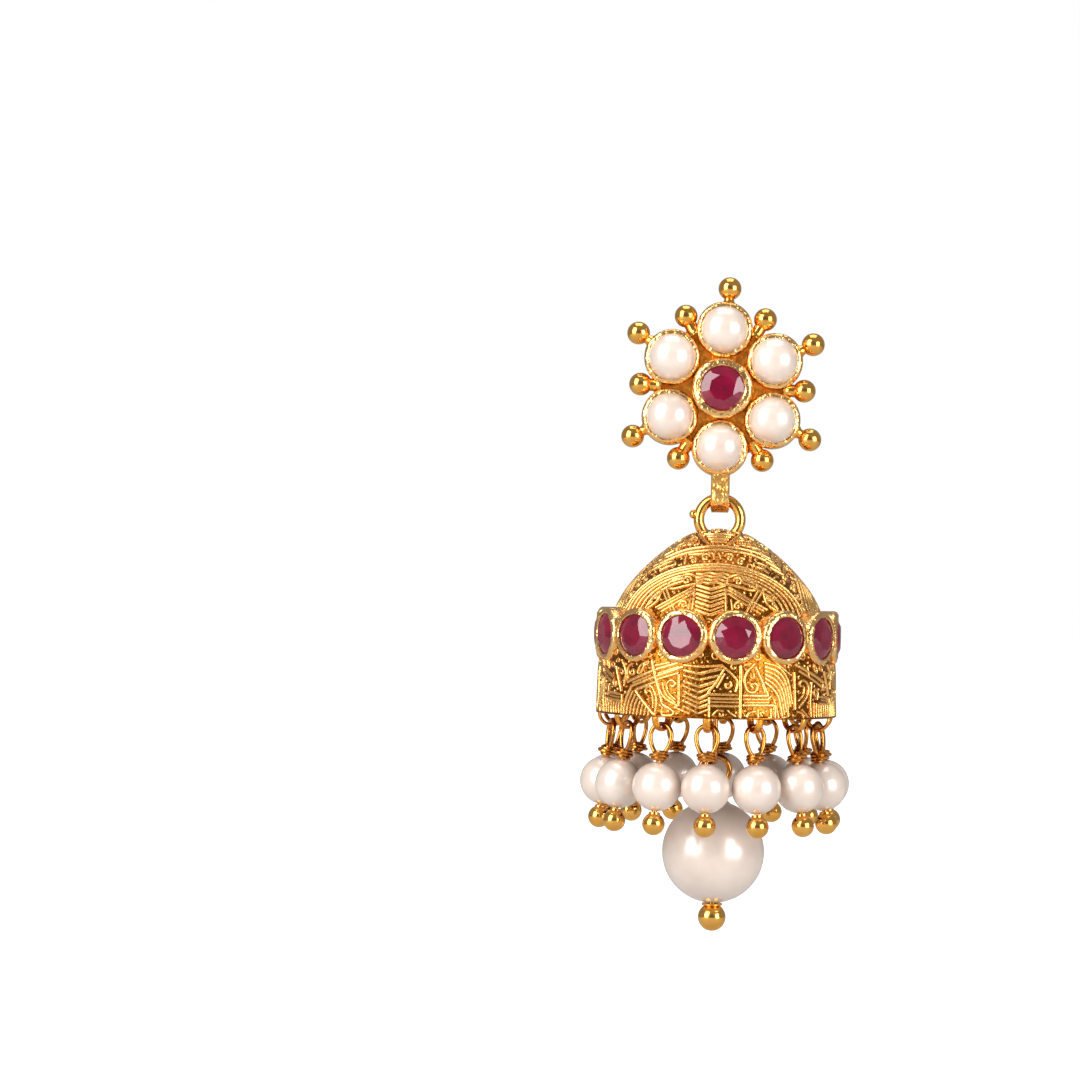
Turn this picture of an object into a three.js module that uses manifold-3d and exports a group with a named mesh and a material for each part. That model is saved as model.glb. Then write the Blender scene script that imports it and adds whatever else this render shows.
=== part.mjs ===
// Jhumka earring: a rosette of pearls round a ruby, a domed bell that hangs from it on a ring, a row of
// pearl dangles round the bell's rim and one large pearl that hangs through the middle of the bell.
//
// Millimetres, +Z up. The face that is worn outwards looks along -Y and +X is to the right of it.
// The origin is on the axis of the ear post, on the rear face of the rosette, where it is pinned on.

import * as THREE from 'three';
import { mergeVertices } from 'three/addons/utils/BufferGeometryUtils.js';
import Module from 'manifold-3d';

// Clearances between pieces
const settingGap = 0.12; // round a stone in its setting
const hangGap = 0.12; // between two wires where one hangs on the other
const boreGap = 0.28; // round a pin in a drilled pearl
const stackGap = 0.12; // between a pearl and the wraps or ball at its ends
const crowdGap = 0.12; // between neighbouring pearls of the dangle row

// Rosette, heights measured forwards from its rear face
const petalCount = 6;
const plateRadius = 6.4;
const plateThickness = 0.6;
const centreColletHeight = 3.0;
const centreColletWall = 0.55;
const centreRubyRadius = 2.1;
const petalPearlRadius = 2.22;
const petalPearlRise = 1.95; // dome of a half pearl above its widest circle
const petalPearlSink = 0.25; // its widest circle below the collet's rim
const petalColletHeight = 2.3;
const petalColletWall = 0.26;
const petalSeam = 0.05; // solder seam between the centre collet and a petal's
const goldBallRadius = 1.05;
const ballNeckRadius = 0.45;
const ballNeckLength = 0.19; // between an outer ball and its collet
const gapBallCircle = 7.5; // circle of the six balls between the petals

// Ear post
const postRadius = 0.45;
const postLength = 11;
const postFootRadius = 1.6;
const postFootThickness = 0.5;
const postSeatGap = 0.1;

// Bail under the rosette and the ring on the bell that it holds
const bailWidth = 1.7;
const bailThickness = 0.55;
const bailClearance = 0.3; // round the ring's wire
const bailSetback = 0.02; // in front of the rosette's rear face
const bailDrop = 2.02; // from the rosette's lowest collet to the ring's wire
const ringRadius = 1.9;
const ringWireRadius = 0.48;
const ringRise = 0.94; // centre of the ring above the bell's crown
const solderBeadRadius = 0.42;

// Bell, measured down from its crown
const bellHeight = 16.9;
const bellRadius = 10.97;
const bellWall = 0.6;
const bellReliefHeight = 0.14;
const rimFlangeThickness = 0.6;
const beltDrop = 9.7; // centre of the row of rubies
const beltStandout = 0.09; // face of the belt's collets beyond the rim's radius
const beltTurn = THREE.MathUtils.degToRad(8.6); // first ruby, from the front towards +X
const beltRubyCount = 14;
const beltRubyRadius = 1.92;
const beltColletWall = 0.39;
const beltColletDepth = 2.3; // from its face to its root inside the dome
const eyeRadius = 1.0;
const eyeWireRadius = 0.3;

// Rim hooks, half rings of flat strip, one between each two rubies
const hookInset = 1.42; // centre of a hook in from the rim's radius
const hookRadius = 1.15;
const hookStripWidth = 0.7;
const hookStripThickness = 0.35;

// Small dangles
const danglePearlRadius = 2.2;
const danglePinRadius = 0.22;
const dangleWireRadius = 0.2;
const dangleLoopWidth = 2.3;
const dangleLoopHeight = 2.8;
const dangleLoopTaper = 0.25; // how much wider a loop is above its middle than below
const dangleWrapRadius = 1.0;
const dangleWrapHeight = 0.65;
const dangleBallRadius = 1.0;

// Middle drop
const dropLinkLength = 18.1; // between the wires that hold its two ends
const dropLinkWireRadius = 0.25;
const dropLinkSideGap = 0.2;
const dropLoopRadius = 1.35;
const dropWireRadius = 0.25;
const dropWrapRadius = 1.1;
const dropWrapHeight = 1.5;
const dropPearlRadius = 4.68;
const dropPinRadius = 0.3;
const dropDiscRadius = 0.95;
const dropDiscThickness = 0.2;
const dropBallRadius = 1.28;
const dropBallSink = 0.13; // the ball's top inside the disc above it

// Wire wrapped round a pin's neck from its widest turn up, as shares of its height and radius
const wrapSections = [
  { height: 0.25, radius: 1.0 },
  { height: 0.8, radius: 0.8 },
  { height: 1.0, radius: 0.3 },
];

// Proportions of a round cut stone, as shares of its radius
const stoneTable = 0.6;
const seatFloor = 0.12;
const stoneGirdle = 0.06;
const stoneCrown = 0.27;
const girdleSink = 0.16; // girdle below its collet's face
const stonePavilion = 0.38;
const centreStonePavilion = 0.55;

// Outer form of the bell from the crown down, as shares of its height and radius.
// A raised section stands proud by the height of the cast relief.
const bellSections = [
  { drop: 0.0, radius: 0.0, raised: 0 },
  { drop: 0.03, radius: 0.225, raised: 0 },
  { drop: 0.093, radius: 0.385, raised: 0 },
  { drop: 0.098, radius: 0.396, raised: 1 },
  { drop: 0.134, radius: 0.464, raised: 1 },
  { drop: 0.14, radius: 0.476, raised: 0 },
  { drop: 0.188, radius: 0.561, raised: 0 },
  { drop: 0.272, radius: 0.684, raised: 0 },
  { drop: 0.358, radius: 0.782, raised: 0 },
  { drop: 0.46, radius: 0.86, raised: 0 },
  { drop: 0.574, radius: 0.925, raised: 0 },
  { drop: 0.722, radius: 0.972, raised: 0 },
  { drop: 0.945, radius: 0.987, raised: 0 },
  { drop: 0.955, radius: 0.987, raised: 1 },
  { drop: 1.0, radius: 0.987, raised: 1 },
];

// How each dangle settles, in degrees: lean is added to the outward lean that crowding gives it,
// twist turns its loop about its own length. The table repeats if the row is longer.
const dangleSettling = [
  { lean: 0.6, twist: -8 },
  { lean: 0.0, twist: 14 },
  { lean: 1.6, twist: 6 },
  { lean: 0.3, twist: -12 },
  { lean: 1.1, twist: 10 },
  { lean: 0.0, twist: -5 },
  { lean: 1.8, twist: 13 },
  { lean: 0.4, twist: -14 },
  { lean: 1.3, twist: 4 },
  { lean: 0.2, twist: 9 },
  { lean: 0.9, twist: -10 },
  { lean: 0.0, twist: 7 },
  { lean: 1.5, twist: -6 },
  { lean: 0.5, twist: 12 },
];

// How finely round things are faceted
const bellSides = 28;
const colletSides = 10;
const stoneSides = 8;
const pearlSides = 10;
const pearlBands = 5;
const bigPearlSides = 16;
const bigPearlBands = 9;
const ballSides = 10;
const wireSides = 6;
const fineWireSides = 5;
const loopSteps = 10;
const neckSides = 6;
const linkSteps = 14;
const quarterSteps = 2; // steps in a quarter circle of a small ball
const weldTolerance = 1e-4;
const cutOvershoot = 1; // how far a cutting solid runs past the face that it opens

// Sizes that follow
const petalColletRadius = petalPearlRadius + settingGap + petalColletWall;
const centreColletRadius = centreRubyRadius + settingGap + centreColletWall;
const petalTouchCircle = petalColletRadius / Math.sin(Math.PI / petalCount);
const petalCircle = Math.max(centreColletRadius + petalColletRadius + petalSeam, petalTouchCircle);
const rosetteBottom = petalCircle + petalColletRadius;
const outerBallCircle = rosetteBottom + ballNeckLength + goldBallRadius;
const ballHeight = petalColletHeight / 2;
const bailInnerRadius = ringWireRadius + bailClearance;
const bailOuterRadius = bailInnerRadius + bailThickness;
const swingY = -(bailOuterRadius + bailSetback);
const swingZ = -(rosetteBottom + bailDrop);
const crownZ = swingZ - ringRadius - ringRise;
const beltPitch = (2 * Math.PI) / beltRubyCount;
const beltFaceRadius = bellRadius + beltStandout;
const beltColletRadius = beltRubyRadius + settingGap + beltColletWall;
const hookCircle = bellRadius - hookInset;
const flangeInnerRadius = hookCircle - hookRadius - hookStripThickness;
const dangleLoopTop = hookStripThickness / 2 + hangGap + dangleWireRadius;
const dangleNeckDrop = dangleLoopHeight - dangleLoopTop - dangleWireRadius;
const danglePearlDrop = dangleNeckDrop + dangleWrapHeight + stackGap + danglePearlRadius;
const dangleBallDrop = danglePearlDrop + danglePearlRadius + stackGap + dangleBallRadius;
const crowdCircle = (danglePearlRadius + crowdGap / 2) / Math.sin(beltPitch / 2);
const crowdLean = Math.asin((crowdCircle - hookCircle) / danglePearlDrop);
const eyeDrop = bellWall + 2 * eyeRadius; // the eye's lowest wire below the crown
const petalSeatHeight = plateThickness + 2 * settingGap;
const centreRubyHeight = centreColletHeight - girdleSink * centreRubyRadius;
const beltRubyCircle = beltFaceRadius - girdleSink * beltRubyRadius;
const dropNeckDrop = 2 * dropLoopRadius - dropWireRadius;
const dropPearlDrop = dropNeckDrop + dropWrapHeight + stackGap + dropPearlRadius;
const dropBoreEnd = Math.sqrt(dropPearlRadius ** 2 - (dropPinRadius + boreGap) ** 2);
const dropDiscDrop = dropPearlDrop + dropBoreEnd + stackGap;
const dropBallDrop = dropDiscDrop + dropDiscThickness + dropBallRadius - dropBallSink;

const wasm = await Module();
wasm.setup();

/** A closed mesh as a solid: positions alone, shared corners merged, triangles of no area left out. */
function solidOf(geometry) {
  geometry.deleteAttribute('normal');
  geometry.deleteAttribute('uv');
  const merged = mergeVertices(geometry, weldTolerance);
  const corners = merged.index.array;
  const kept = [];
  for (let i = 0; i < corners.length; i += 3) {
    const [a, b, c] = corners.slice(i, i + 3);
    if (a !== b && b !== c && c !== a) {
      kept.push(a, b, c);
    }
  }
  const vertProperties = Float32Array.from(merged.attributes.position.array);
  const triVerts = Uint32Array.from(kept);
  return new wasm.Manifold(new wasm.Mesh({ numProp: 3, vertProperties, triVerts }));
}

/** One solid from several that touch or overlap. */
function joined(solids) {
  return solids.reduce((whole, next) => whole.add(next));
}

/** A named piece of the earring, with the colour and finish of its material. */
function piece(name, solid, material) {
  const { vertProperties, triVerts } = solid.getMesh();
  const geometry = new THREE.BufferGeometry();
  geometry.setAttribute('position', new THREE.BufferAttribute(vertProperties, 3));
  geometry.setIndex(new THREE.BufferAttribute(triVerts, 1));
  geometry.computeVertexNormals();
  const mesh = new THREE.Mesh(geometry, material());
  mesh.name = name;
  return mesh;
}

const point = (radius, height) => new THREE.Vector2(radius, height);

/** Points of an arc round (radius, height), from one angle to another, 0 pointing outwards. */
function arc(radius, height, size, from, to, steps) {
  return Array.from({ length: steps + 1 }, (_, i) => {
    const angle = from + ((to - from) * i) / steps;
    return point(radius + size * Math.cos(angle), height + size * Math.sin(angle));
  });
}

/** A profile of (radius, height) points turned round the Z axis, its outer side given upwards. */
function turned(profile, sides) {
  return new THREE.LatheGeometry(profile, sides).rotateX(Math.PI / 2);
}

/** A solid cylinder on the Z axis between two heights. */
function disc(radius, from, to, sides) {
  return turned([point(0, from), point(radius, from), point(radius, to), point(0, to)], sides);
}

/** A ball on the Z axis at a height. */
function ball(radius, height, sides) {
  const half = Math.PI / 2;
  return turned(arc(0, height, radius, -half, half, 2 * quarterSteps + 1), sides);
}

/** Turns an upright geometry forwards, so that what pointed up points along -Y. */
function facingFront(geometry) {
  return geometry.rotateX(Math.PI / 2);
}

/** Stands a flat shape up: its x points along -Y, its y along +Z, and its thickness along X. */
function stoodUp(shape, thickness) {
  const across = new THREE.Vector3(-1, 0, 0);
  const outwards = new THREE.Vector3(0, -1, 0);
  const upwards = new THREE.Vector3(0, 0, 1);
  const options = { depth: thickness, bevelEnabled: false, curveSegments: loopSteps / 2 };
  const geometry = new THREE.ExtrudeGeometry(shape, options);
  geometry.translate(0, 0, -thickness / 2);
  return geometry.applyMatrix4(new THREE.Matrix4().makeBasis(outwards, upwards, across));
}

/** A closed path through given corners, sampled at them. */
class ClosedPath extends THREE.Curve {
  constructor(corners) {
    super();
    this.corners = corners;
  }

  getPoint(t) {
    const count = this.corners.length;
    const along = (t * count) % count;
    const from = Math.floor(along);
    return this.corners[from].clone().lerp(this.corners[(from + 1) % count], along - from);
  }

  getPointAt(u) {
    return this.getPoint(u);
  }

  getTangentAt(u) {
    return this.getTangent(u);
  }
}

/** A loop of round wire in the XZ plane through the corners that a formula gives for each angle. */
function wireLoop(cornerAt, wireRadius, steps, sides) {
  const corners = Array.from({ length: steps }, (_, i) => {
    const angle = Math.PI + (2 * Math.PI * (i + 0.5)) / steps;
    const [x, z] = cornerAt(angle);
    return new THREE.Vector3(x, 0, z);
  });
  return new THREE.TubeGeometry(new ClosedPath(corners), steps, wireRadius, sides, true);
}

/** A round ring of wire in the XZ plane, its centre at a height. */
function wireRing(radius, wireRadius, height) {
  const ring = new THREE.TorusGeometry(radius, wireRadius, wireSides, linkSteps);
  return ring.rotateX(Math.PI / 2).translate(0, 0, height);
}

/** A round cut stone on the Z axis, its girdle at 0: pavilion below, then girdle, crown and table. */
function cutStone(radius, pavilionShare) {
  const girdle = (stoneGirdle * radius) / 2;
  const culetZ = -pavilionShare * radius;
  const tableZ = stoneCrown * radius;
  return turned(
    [
      point(0, culetZ),
      point(radius, -girdle),
      point(radius, girdle),
      point(stoneTable * radius, tableZ),
      point(0, tableZ),
    ],
    stoneSides,
  );
}

/** The seat that a cut stone sits in, its gap wider all round, open upwards. */
function stoneSeat(radius, pavilionShare) {
  const grow = 1 / Math.cos(Math.PI / colletSides);
  const floorZ = -pavilionShare * radius - settingGap;
  const wallRadius = (radius + settingGap) * grow;
  const shoulderZ = (-stoneGirdle * radius) / 2 - settingGap;
  const openZ = stoneCrown * radius + cutOvershoot;
  return turned(
    [
      point(0, floorZ),
      point((seatFloor * radius + settingGap) * grow, floorZ),
      point(wallRadius, shoulderZ),
      point(wallRadius, openZ),
      point(0, openZ),
    ],
    colletSides,
  );
}

/** A round pearl on the Z axis, drilled for its pin, its centre at 0. */
function drilledPearl(radius, pinRadius, sides, bands) {
  const boreRadius = pinRadius + boreGap;
  const edge = Math.acos(boreRadius / radius);
  const skin = arc(0, 0, radius, -edge, edge, bands);
  return turned([...skin, skin[0]], sides);
}

const gold = () => new THREE.MeshStandardMaterial({ color: 0xd9a441, roughness: 0.28, metalness: 1 });
const wireGold = () => new THREE.MeshStandardMaterial({ color: 0xb9712a, roughness: 0.3, metalness: 1 });
const pearl = () => new THREE.MeshStandardMaterial({ color: 0xf3e6dc, roughness: 0.22, metalness: 0 });
const ruby = () => new THREE.MeshStandardMaterial({ color: 0x9e0f42, roughness: 0.08, metalness: 0 });

const petalAngles = Array.from({ length: petalCount }, (_, i) => (i * 2 * Math.PI) / petalCount);
const halfPetal = Math.PI / petalCount;
const bailPetal = petalCount / 2;

/** Moves a geometry out from the rosette's centre along a clock angle, 0 upwards, +X first. */
function outOnRosette(geometry, circle, angle) {
  return geometry.translate(Math.sin(angle) * circle, 0, Math.cos(angle) * circle);
}

/** A gold ball at a clock angle and circle, with the neck that joins it to the rosette. */
function ballOnNeck(circle, neckFrom, angle) {
  const neck = disc(ballNeckRadius, neckFrom, circle, neckSides);
  const head = ball(goldBallRadius, circle, ballSides);
  return [neck, head].map((part) => solidOf(part.translate(0, -ballHeight, 0).rotateY(angle)));
}

/** All eleven gold balls: one beyond each petal but the lowest, and one in each gap. */
function goldBalls() {
  const outer = petalAngles.filter((_, i) => i !== bailPetal);
  const neckFrom = petalCircle + petalPearlRadius + settingGap;
  const beyond = outer.flatMap((angle) => ballOnNeck(outerBallCircle, neckFrom, angle));
  const gapNeckFrom = petalCircle * Math.cos(halfPetal);
  const between = petalAngles.flatMap((angle) => ballOnNeck(gapBallCircle, gapNeckFrom, angle + halfPetal));
  return [...beyond, ...between];
}

/** Outline of the bail from the side: round below its ring, closing in towards the rosette. */
function bailOutline(path, radius, topWidth, topZ) {
  path.moveTo(topWidth, topZ);
  path.lineTo(-topWidth, topZ);
  path.lineTo(-radius, 0);
  path.absarc(0, 0, radius, Math.PI, 2 * Math.PI, false);
  path.closePath();
  return path;
}

/** The folded strap under the rosette, with the slot that the bell's ring hangs in. */
function bail() {
  const topWidth = bailInnerRadius;
  const topZ = bailDrop + petalColletWall;
  const strap = bailOutline(new THREE.Shape(), bailOuterRadius, topWidth, topZ);
  const slotTop = bailDrop - bailThickness;
  strap.holes.push(bailOutline(new THREE.Path(), bailInnerRadius, topWidth - bailThickness, slotTop));
  return stoodUp(strap, bailWidth).translate(0, swingY, swingZ);
}

/** The rosette: plate, collets, balls and bail soldered into one, with seats for its stones. */
function rosetteSolid() {
  const plate = facingFront(disc(plateRadius, 0, plateThickness, 2 * colletSides));
  const centre = facingFront(disc(centreColletRadius, 0, centreColletHeight, colletSides));
  const petals = petalAngles.map((angle) => {
    const collet = facingFront(disc(petalColletRadius, 0, petalColletHeight, colletSides));
    return solidOf(outOnRosette(collet, petalCircle, angle));
  });
  const metal = joined([solidOf(plate), solidOf(centre), ...petals, ...goldBalls(), solidOf(bail())]);
  const seatRadius = (petalPearlRadius + settingGap) / Math.cos(Math.PI / colletSides);
  const seats = petalAngles.map((angle) => {
    const cut = disc(seatRadius, petalSeatHeight, petalColletHeight + cutOvershoot, colletSides);
    return solidOf(outOnRosette(facingFront(cut), petalCircle, angle));
  });
  const rubySeat = stoneSeat(centreRubyRadius, centreStonePavilion).translate(0, 0, centreRubyHeight);
  return metal.subtract(joined([solidOf(facingFront(rubySeat)), ...seats]));
}

/** A half pearl on the Z axis, its flat base at 0 and its widest circle a little above it. */
function halfPearl() {
  const baseZ = petalSeatHeight + settingGap;
  const widestZ = petalColletHeight - petalPearlSink;
  const dome = arc(0, 0, 1, 0, Math.PI / 2, 2 * quarterSteps).map((onCircle) =>
    point(onCircle.x * petalPearlRadius, widestZ + onCircle.y * petalPearlRise),
  );
  const profile = [point(0, baseZ), point(petalPearlRadius - settingGap, baseZ), ...dome];
  return turned(profile, pearlSides);
}

/** The plain post that goes through the ear, its foot on the rear of the rosette. */
function earPost() {
  const tip = postRadius / 2;
  return turned(
    [
      point(0, postSeatGap),
      point(postFootRadius, postSeatGap),
      point(postFootRadius, postSeatGap + postFootThickness),
      point(postRadius, postSeatGap + postFootThickness),
      point(postRadius, postLength - tip),
      point(postRadius - tip, postLength),
      point(0, postLength),
    ],
    colletSides,
  ).rotateX(-Math.PI / 2);
}

/** The rosette with its post and stones, the stones placed one by one. */
function rosetteGroup() {
  const group = new THREE.Group();
  group.add(piece('rosette', rosetteSolid(), gold));
  group.add(piece('ear_post', solidOf(earPost()), gold));
  const centreRuby = piece('rosette_ruby', solidOf(cutStone(centreRubyRadius, centreStonePavilion)), ruby);
  centreRuby.position.set(0, -centreRubyHeight, 0);
  centreRuby.rotation.x = Math.PI / 2;
  group.add(centreRuby);
  petalAngles.forEach((angle, i) => {
    const mesh = piece(`rosette_pearl_${i + 1}`, solidOf(halfPearl()), pearl);
    mesh.position.set(Math.sin(angle) * petalCircle, 0, Math.cos(angle) * petalCircle);
    mesh.rotation.x = Math.PI / 2;
    group.add(mesh);
  });
  return group;
}

/** Outer profile of the bell from the rim up to the crown, with or without its raised bands. */
function bellOutline(reliefHeight) {
  const rows = bellSections.filter((row) => reliefHeight > 0 || !row.raised);
  const points = rows.map((row) =>
    point(row.radius * bellRadius + row.raised * reliefHeight, -row.drop * bellHeight),
  );
  return points.reverse();
}

/** A profile moved inwards by a depth, square to its own direction at each point. */
function inset(profile, depth) {
  return profile.map((here, i) => {
    const before = profile[Math.max(i - 1, 0)];
    const after = profile[Math.min(i + 1, profile.length - 1)];
    const along = after.clone().sub(before).normalize();
    return point(Math.max(here.x - depth * along.y, 0), here.y + depth * along.x);
  });
}

/** The hollow of the bell, down through the opening in the rim's flange. */
function bellHollow() {
  const inner = inset(bellOutline(0), bellWall);
  const flangeTop = rimFlangeThickness - bellHeight;
  const below = -bellHeight - cutOvershoot;
  const walls = inner.filter((p) => p.y > flangeTop + bellWall);
  return turned(
    [
      point(0, below),
      point(flangeInnerRadius, below),
      point(flangeInnerRadius, flangeTop),
      point(inner[0].x, flangeTop),
      ...walls,
    ],
    bellSides,
  ).rotateZ(beltTurn);
}

/** Places a forward-facing geometry on the bell at an azimuth, 0 at the front and +X next. */
function onBell(geometry, radius, drop, azimuth) {
  return geometry.translate(0, -radius, -drop).rotateZ(azimuth);
}

/** One rim hook: a half ring of flat strip in a plane through the bell's axis. */
function rimHook(azimuth) {
  const outer = hookRadius + hookStripThickness / 2;
  const inner = hookRadius - hookStripThickness / 2;
  const root = rimFlangeThickness / 2;
  const strip = new THREE.Shape();
  strip.moveTo(-outer, root);
  strip.lineTo(-outer, 0);
  strip.absarc(0, 0, outer, Math.PI, 2 * Math.PI, false);
  strip.lineTo(outer, root);
  strip.lineTo(inner, root);
  strip.absarc(0, 0, inner, 0, -Math.PI, true);
  strip.lineTo(-inner, root);
  strip.closePath();
  return onBell(stoodUp(strip, hookStripWidth), hookCircle, bellHeight, azimuth);
}

const rubyAzimuths = Array.from({ length: beltRubyCount }, (_, i) => beltTurn + i * beltPitch);
const hookAzimuths = rubyAzimuths.map((azimuth) => azimuth - beltPitch / 2);

/** The ring that the bell hangs by, with its solder bead, before the hollow trims its foot. */
function hangingRing() {
  const bead = ball(solderBeadRadius, 0, ballSides);
  bead.translate(-(ringRadius + ringWireRadius), 0, ringRise + solderBeadRadius);
  return [solidOf(wireRing(ringRadius, ringWireRadius, ringRise)), solidOf(bead)];
}

/** The bell: dome, belt of collets, ring, eye, flange and hooks in one, hollow, with ruby seats. */
function bellSolid() {
  const outline = bellOutline(bellReliefHeight);
  const dome = turned([point(0, -bellHeight), ...outline], bellSides).rotateZ(beltTurn);
  const collets = rubyAzimuths.map((azimuth) => {
    const collet = facingFront(disc(beltColletRadius, -beltColletDepth, 0, colletSides));
    return solidOf(onBell(collet, beltFaceRadius, beltDrop, azimuth));
  });
  const seats = rubyAzimuths.map((azimuth) => {
    const seat = facingFront(stoneSeat(beltRubyRadius, stonePavilion));
    return solidOf(onBell(seat, beltRubyCircle, beltDrop, azimuth));
  });
  const eye = solidOf(wireRing(eyeRadius, eyeWireRadius, eyeRadius - eyeDrop));
  const hooks = hookAzimuths.map((azimuth) => solidOf(rimHook(azimuth)));
  return joined([solidOf(dome), ...collets, ...hangingRing()])
    .subtract(joined([solidOf(bellHollow()), ...seats]))
    .add(joined([eye, ...hooks]));
}

/** Wire loop of a dangle, round above and narrower below, the hook's strip through its top. */
function dangleLoop() {
  const halfHeight = dangleLoopHeight / 2;
  const halfWidth = dangleLoopWidth / 2 - dangleWireRadius;
  const corner = (angle) => [
    halfWidth * Math.sin(angle) * (1 + dangleLoopTaper * Math.cos(angle)),
    dangleLoopTop - halfHeight * (1 - Math.cos(angle)),
  ];
  return wireLoop(corner, dangleWireRadius, loopSteps, fineWireSides);
}

/** Profile of a pin from its end ball up to the top of the wire wrapped round its neck. */
function pinProfile(neckZ, wrapHeight, wrapRadius, pinRadius, ballZ, ballRadius, discPoints) {
  const meet = Math.acos(pinRadius / ballRadius);
  const steps = 2 * quarterSteps;
  const wrapZ = neckZ - wrapHeight;
  return [
    ...arc(0, ballZ, ballRadius, -Math.PI / 2, meet, steps),
    ...discPoints,
    point(pinRadius, wrapZ),
    ...wrapSections.map((row) => point(wrapRadius * row.radius, wrapZ + wrapHeight * row.height)),
    point(0, neckZ),
  ];
}

/** A dangle's pin: loop, wraps, shank and end ball in one, its hook's strip at the origin. */
function danglePin() {
  const profile = pinProfile(
    -dangleNeckDrop,
    dangleWrapHeight,
    dangleWrapRadius,
    danglePinRadius,
    -dangleBallDrop,
    dangleBallRadius,
    [],
  );
  return joined([solidOf(turned(profile, ballSides)), solidOf(dangleLoop())]);
}

/** One small dangle at its hook, leaning outwards as its crowded neighbours push it. */
function dangle(azimuth, index) {
  const settle = dangleSettling[index % dangleSettling.length];
  const number = String(index + 1).padStart(2, '0');
  const pin = piece(`dangle_pin_${number}`, danglePin(), wireGold);
  pin.rotation.z = THREE.MathUtils.degToRad(settle.twist);
  const bead = drilledPearl(danglePearlRadius, danglePinRadius, pearlSides, pearlBands);
  const pearlMesh = piece(`dangle_pearl_${number}`, solidOf(bead), pearl);
  pearlMesh.position.z = -danglePearlDrop;
  const leaning = new THREE.Group();
  leaning.add(pin, pearlMesh);
  leaning.position.set(0, -hookCircle, -bellHeight - hookRadius);
  leaning.rotation.x = -(crowdLean + THREE.MathUtils.degToRad(settle.lean));
  const around = new THREE.Group();
  around.add(leaning);
  around.rotation.z = azimuth;
  return around;
}

/** The bell with its rubies and dangles, the crown at the group's origin. */
function bellGroup() {
  const group = new THREE.Group();
  group.position.set(0, swingY, crownZ);
  group.add(piece('bell', bellSolid(), gold));
  rubyAzimuths.forEach((azimuth, i) => {
    const name = `bell_ruby_${String(i + 1).padStart(2, '0')}`;
    const mesh = piece(name, solidOf(cutStone(beltRubyRadius, stonePavilion)), ruby);
    mesh.position.set(0, -beltRubyCircle, -beltDrop);
    mesh.rotation.x = Math.PI / 2;
    const around = new THREE.Group();
    around.add(mesh);
    around.rotation.z = azimuth;
    group.add(around);
  });
  group.add(...hookAzimuths.map(dangle));
  return group;
}

/** The long link inside the bell, in the YZ plane, the eye's wire at the origin. */
function dropLink() {
  const halfWidth = eyeWireRadius + dropLinkSideGap + dropLinkWireRadius;
  const top = eyeWireRadius + hangGap + dropLinkWireRadius;
  const bottom = -dropLinkLength - dropWireRadius - hangGap - dropLinkWireRadius;
  const corner = (angle) => {
    const endZ = Math.cos(angle) > 0 ? top - halfWidth : bottom + halfWidth;
    return [halfWidth * Math.sin(angle), endZ + halfWidth * Math.cos(angle)];
  };
  return wireLoop(corner, dropLinkWireRadius, linkSteps, wireSides).rotateZ(Math.PI / 2);
}

/** The middle drop's pin: loop, wraps, shank, disc and end ball in one. */
function dropPin() {
  const discTop = -dropDiscDrop;
  const discProfile = [
    point(dropDiscRadius, discTop - dropDiscThickness),
    point(dropDiscRadius, discTop),
    point(dropPinRadius, discTop),
  ];
  const profile = pinProfile(
    -dropNeckDrop,
    dropWrapHeight,
    dropWrapRadius,
    dropPinRadius,
    -dropBallDrop,
    dropBallRadius,
    discProfile,
  );
  const corner = (angle) => [
    dropLoopRadius * Math.sin(angle),
    dropLoopRadius * (Math.cos(angle) - 1),
  ];
  const loop = wireLoop(corner, dropWireRadius, linkSteps, wireSides);
  return joined([solidOf(turned(profile, pearlSides)), solidOf(loop)]);
}

/** The middle drop on its long link, the wire of the bell's eye at the group's origin. */
function dropGroup() {
  const group = new THREE.Group();
  group.position.set(0, swingY, crownZ - eyeDrop);
  group.add(piece('drop_link', solidOf(dropLink()), wireGold));
  const hung = new THREE.Group();
  hung.position.z = -dropLinkLength;
  hung.add(piece('drop_pin', dropPin(), wireGold));
  const bigPearl = drilledPearl(dropPearlRadius, dropPinRadius, bigPearlSides, bigPearlBands);
  const pearlMesh = piece('drop_pearl', solidOf(bigPearl), pearl);
  pearlMesh.position.z = -dropPearlDrop;
  hung.add(pearlMesh);
  group.add(hung);
  return group;
}

const earring = new THREE.Group();
earring.add(rosetteGroup(), bellGroup(), dropGroup());

export default earring;
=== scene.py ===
"""Jhumka earring, hanging as it is worn: pearl and ruby rosette, relief bell, dangles and middle pearl."""

import math

import bpy
import numpy as np
from mathutils import Euler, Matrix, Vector


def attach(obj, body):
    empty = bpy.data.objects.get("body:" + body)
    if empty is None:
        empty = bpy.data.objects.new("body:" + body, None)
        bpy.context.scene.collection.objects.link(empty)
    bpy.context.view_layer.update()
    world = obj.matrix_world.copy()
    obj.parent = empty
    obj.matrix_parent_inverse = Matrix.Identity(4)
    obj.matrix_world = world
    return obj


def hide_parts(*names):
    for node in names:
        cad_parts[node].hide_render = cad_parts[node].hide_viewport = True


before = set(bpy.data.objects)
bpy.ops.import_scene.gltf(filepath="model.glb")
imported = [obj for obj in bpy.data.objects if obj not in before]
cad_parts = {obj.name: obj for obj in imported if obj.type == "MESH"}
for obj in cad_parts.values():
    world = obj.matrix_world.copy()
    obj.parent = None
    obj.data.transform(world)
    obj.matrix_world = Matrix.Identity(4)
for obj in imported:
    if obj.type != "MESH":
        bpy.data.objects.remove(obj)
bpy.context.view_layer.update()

# Shapes are worked out in millimetres, in the row's frame, and stored in metres.
MM = 0.001

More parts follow.
